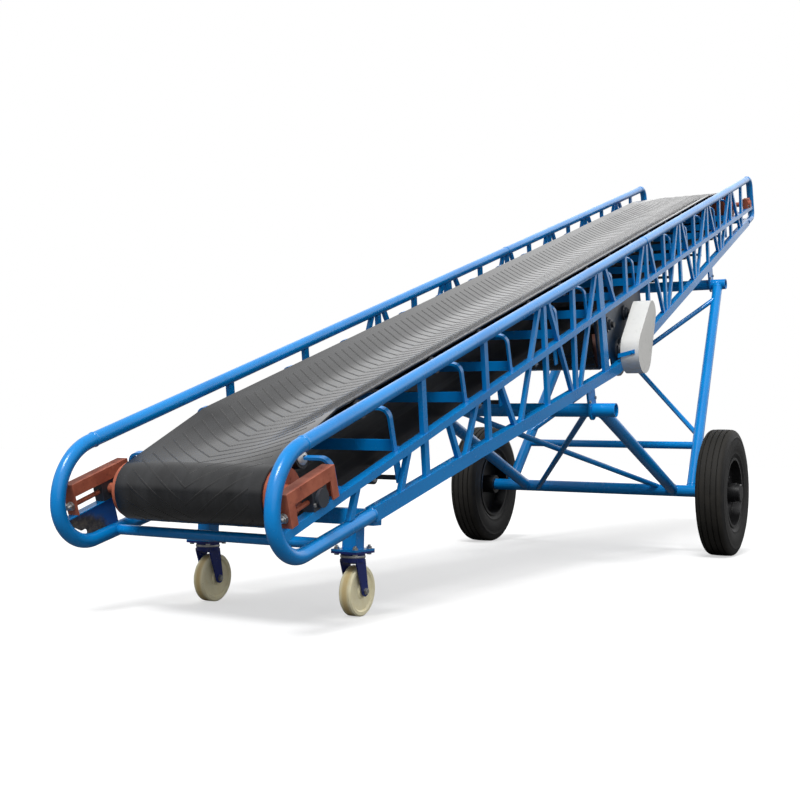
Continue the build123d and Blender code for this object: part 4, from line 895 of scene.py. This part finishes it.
def make_drive_bearings():
    """Flanged bearings of the drive drum and the bend rollers on the drive plates."""
    housings, bolts = Stock(), Stock()
    places = [(DRIVE_U, DRIVE_V, DRIVE_FLANGE, DRIVE_BORE)]
    places += [(DRIVE_U + end * BEND_REACH, BEND_V, BEND_FLANGE, BEND_BORE) for end in SIGNS]
    for u, v, radius, bore in places:
        ring = (
            (0, bore),
            (0, radius),
            (FLANGE_THICK, radius),
            (BOSS_START, BOSS_BASE_SHARE * radius),
            (BOSS_EDGE, BOSS_TOP_SHARE * radius),
            (BOSS_END, bore),
        )
        for sign in SIGNS:
            out = ACROSS * sign
            seat = slope(u, v, sign * DRIVE_FACE_Y)
            housings.lathe(seat, out, ring, 36, closed=True)
            for quarter in range(4):
                angle = math.pi / 4 + quarter * QUARTER
                arm = ALONG * math.cos(angle) + ABOVE * math.sin(angle)
                face = seat + arm * radius * FLANGE_BOLT_CIRCLE + out * FLANGE_THICK
                bolts.hex_bolt(face, out, radius * FLANGE_BOLT_SHARE)
    housings.piece("drive_bearings", MACHINE, "frame", "machine_dark")
    bolts.piece("drive_bolts", ZINC, "frame")


def make_welds():
    """Weld beads of the rails' joints, the tail loops' legs, the struts and the posts."""
    welds = Stock()
    for sign in SIGNS:
        for u in RAIL_JOINTS:
            welds.weld_ring(slope(u, 0, sign * RAIL_Y), ALONG, RAIL_RADIUS)
        leg_end = slope(FOOT_U, FOOT_V, sign * RAIL_Y)
        knee = slope(KNEE_U, KNEE_V, sign * RAIL_Y)
        welds.weld_ring(leg_end, knee - leg_end, RAIL_RADIUS)
        for foot_y, x, z in ((STRUT_Y, FRONT_X, FRONT_Z), (POST_FOOT_Y, REAR_X, REAR_Z)):
            low = ground(AXLE_X, sign * foot_y, AXLE_HEIGHT)
            high = ground(x, sign * STRUT_Y, z)
            lead = (high - low).normalized()
            for end, inward in ((low, lead), (high, -lead)):
                welds.weld_ring(end + inward * (TUBE_RADIUS + WELD_GAP), inward, POST_RADIUS)
    welds.piece("weld_beads", BLUE, "frame", "blue_paint", 60.0)


def make_wheel_fittings():
    """Nuts of the road wheels, and axle bolts and swivel races of the casters."""
    for side, sign in SIDES:
        out = ACROSS * sign
        centre = ground(AXLE_X, sign * WHEEL_Y, AXLE_HEIGHT)
        nuts = Stock()
        for k in range(NUT_COUNT):
            angle = 2 * math.pi * k / NUT_COUNT + NUT_TURN
            arm = Vector((math.cos(angle), 0, math.sin(angle)))
            seat = centre + arm * NUT_CIRCLE + out * NUT_FACE
            nuts.hex_bolt(seat, out, NUT_SIZE, shank=NUT_SHANK)
        nuts.piece(f"wheel_nuts_{side}", BOLT, f"wheel_{side}")
        pivot = ground(CASTER_X, sign * CASTER_Y, 0)
        hub = pivot + Vector((CASTER_TRAIL, 0, CASTER_RADIUS))
        axle = Stock()
        for end in SIGNS:
            axle.hex_bolt(hub + ACROSS * end * FORK_FACE, ACROSS * end, AXLE_BOLT)
        axle.lathe(pivot + UP * RACE_HEIGHT, UP, RACE_RING, 40, closed=True)
        axle.piece(f"caster_axle_{side}", ZINC, f"caster_fork_{side}")


def make_guard_strap():
    """Strap round the guard's lower end, on the side toward the tail."""
    strap = Stock()
    low = slope(GUARD_LOW_U, GUARD_LOW_V)
    flank = (slope(GUARD_TOP_U, GUARD_TOP_V) - low).normalized()
    square = flank.cross(ACROSS).normalized()
    out = square * math.cos(STRAP_TURN) - flank * math.sin(STRAP_TURN)
    rise = flank * math.cos(STRAP_TURN) + square * math.sin(STRAP_TURN)
    face = low + out * GUARD_LOW_RADIUS
    section = (
        (-STRAP_HALF, -STRAP_SINK),
        (STRAP_HALF, -STRAP_SINK),
        (STRAP_HALF, STRAP_TOP),
        (-STRAP_HALF, STRAP_TOP),
    )
    rings = []
    for y, lift in STRAP_ENDS:
        middle = Vector((face.x, y, face.z)) + rise * lift
        rings.append([middle + rise * along + out * depth for along, depth in section])
    strap.skin(rings, ends=True)
    seat = Vector((face.x, STRAP_BOLT_Y, face.z)) + rise * STRAP_BOLT_RISE + out * STRAP_TOP
    strap.hex_bolt(seat, out, STRAP_BOLT)
    strap.piece("guard_strap", BLUE, "frame", "blue_paint")


make_belt()
make_ribs()
make_tyres()
make_roller_caps()
make_frame_bolts()
make_takeup_screws()
make_drive_bearings()
make_welds()
make_wheel_fittings()
make_guard_strap()

# Solids that show keep their own shape and take a finish.
for row in frame["record"]["subparts"]:
    node, slot = row["node"], row["material_slot"]
    if node in OWN_PAINTS:
        paint = OWN_PAINTS[node]
    elif slot in SIDED_PAINTS:
        paint = SIDED_PAINTS[slot][node.rsplit("_", 1)[-1]]
    else:
        paint = PAINTS[slot]
    materials = frame["nodes"][node].data.materials
    materials.clear()
    materials.append(paint)

# Studio: pale floor, a sky that is brighter toward the head, two lamps and the photograph's camera.
CAMERA_PLACE = ground(-2.9865, -2.5704, 0.627)
CAMERA_YAW, CAMERA_PITCH, CAMERA_ROLL = 0.5081, 0.0613, 0.0221
FOCAL_PIXELS = 1141.63
CENTRE_X, CENTRE_Y = 397.31, 379.75
IMAGE = 800.0
SENSOR = 36.0
VIEW_DISTANCE = 200.0
FLOOR_HALF = 60.0
FLOOR_GLOW = 0.55
WINDOW_EDGES, WINDOW_LEVELS = (0.54, 0.78), (0.70, 1.75)
HORIZON_EDGES, HORIZON_LEVEL = (0.02, 0.30), 0.10
LAMPS = (
    # name, direction it shines from, strength, spread in degrees
    ("key", (-0.55, -0.10, 0.80), 3.0, 18),
    ("fill", (-0.60, -0.75, 0.30), 0.60, 60),
)


def make_camera():
    """Camera with the photograph's place, turn and focal length."""
    camera = bpy.data.cameras.new("camera")
    camera.sensor_width = SENSOR
    camera.lens = FOCAL_PIXELS / IMAGE * SENSOR
    camera.shift_x = (IMAGE / 2 - CENTRE_X) / IMAGE
    camera.shift_y = (CENTRE_Y - IMAGE / 2) / IMAGE
    camera.clip_end = VIEW_DISTANCE
    level, climb = math.cos(CAMERA_PITCH), math.sin(CAMERA_PITCH)
    ahead = Vector((math.cos(CAMERA_YAW) * level, math.sin(CAMERA_YAW) * level, climb))
    right = Vector((math.sin(CAMERA_YAW), -math.cos(CAMERA_YAW), 0.0))
    up = right.cross(ahead)
    tilt_right = right * math.cos(CAMERA_ROLL) + up * math.sin(CAMERA_ROLL)
    tilt_up = up * math.cos(CAMERA_ROLL) - right * math.sin(CAMERA_ROLL)
    turn = Matrix((tilt_right, tilt_up, -ahead)).transposed().to_4x4()
    holder = bpy.data.objects.new("camera", camera)
    holder.matrix_world = Matrix.Translation(CAMERA_PLACE) @ turn
    bpy.context.scene.collection.objects.link(holder)
    bpy.context.scene.camera = holder


def make_floor():
    """Floor that the camera sees pale and that throws little light back on the conveyor."""
    finish = Finish("pale_floor")
    finish.tree.nodes.remove(finish.shader)
    matt = finish.node("BsdfDiffuse", {"Color": rgb(0.86, 0.86, 0.86)})
    dull = finish.node("BsdfDiffuse", {"Color": rgb(0.11, 0.11, 0.11)})
    glow = finish.node("Emission", {"Color": rgb(1, 1, 1), "Strength": 1.0})
    pale = finish.node("MixShader", {0: FLOOR_GLOW, 1: matt, 2: glow})
    seen = finish.node("LightPath", out="Is Camera Ray")
    surface = finish.tree.nodes["Material Output"].inputs["Surface"]
    finish.feed(surface, finish.node("MixShader", {0: seen, 1: dull, 2: pale}))
    corners = [(FLOOR_HALF * x, FLOOR_HALF * y, 0) for x, y in ((-1, -1), (1, -1), (1, 1), (-1, 1))]
    mesh = bpy.data.meshes.new("floor")
    mesh.from_pydata(corners, [], [(0, 1, 2, 3)])
    mesh.materials.append(finish.material)
    floor = bpy.data.objects.new("floor", mesh)
    bpy.context.scene.collection.objects.link(floor)


def make_light():
    """Sky that the camera sees white, and two lamps."""
    world = bpy.data.worlds.new("studio")
    bpy.context.scene.world = world
    world.use_nodes = True
    studio = Nodes(world.node_tree)
    headward, _, height = studio.split(studio.node("TexCoord", out="Generated"))
    window = studio.spread(headward, WINDOW_EDGES, WINDOW_LEVELS)
    sky = studio.spread(height, HORIZON_EDGES, (HORIZON_LEVEL, window))
    seen = studio.node("LightPath", out="Is Camera Ray")
    background = studio.tree.nodes["Background"].inputs
    studio.feed(background["Strength"], studio.spread(seen, (0.0, 1.0), (sky, 1.0)))
    studio.feed(background["Color"], rgb(1, 1, 1))
    for name, source, strength, spread in LAMPS:
        lamp = bpy.data.lights.new(name, "SUN")
        lamp.energy = strength
        lamp.angle = math.radians(spread)
        holder = bpy.data.objects.new(name, lamp)
        holder.rotation_euler = Vector(source).to_track_quat("Z", "Y").to_euler()
        bpy.context.scene.collection.objects.link(holder)


make_camera()
make_floor()
make_light()
bpy.context.scene.view_settings.view_transform = "Standard"
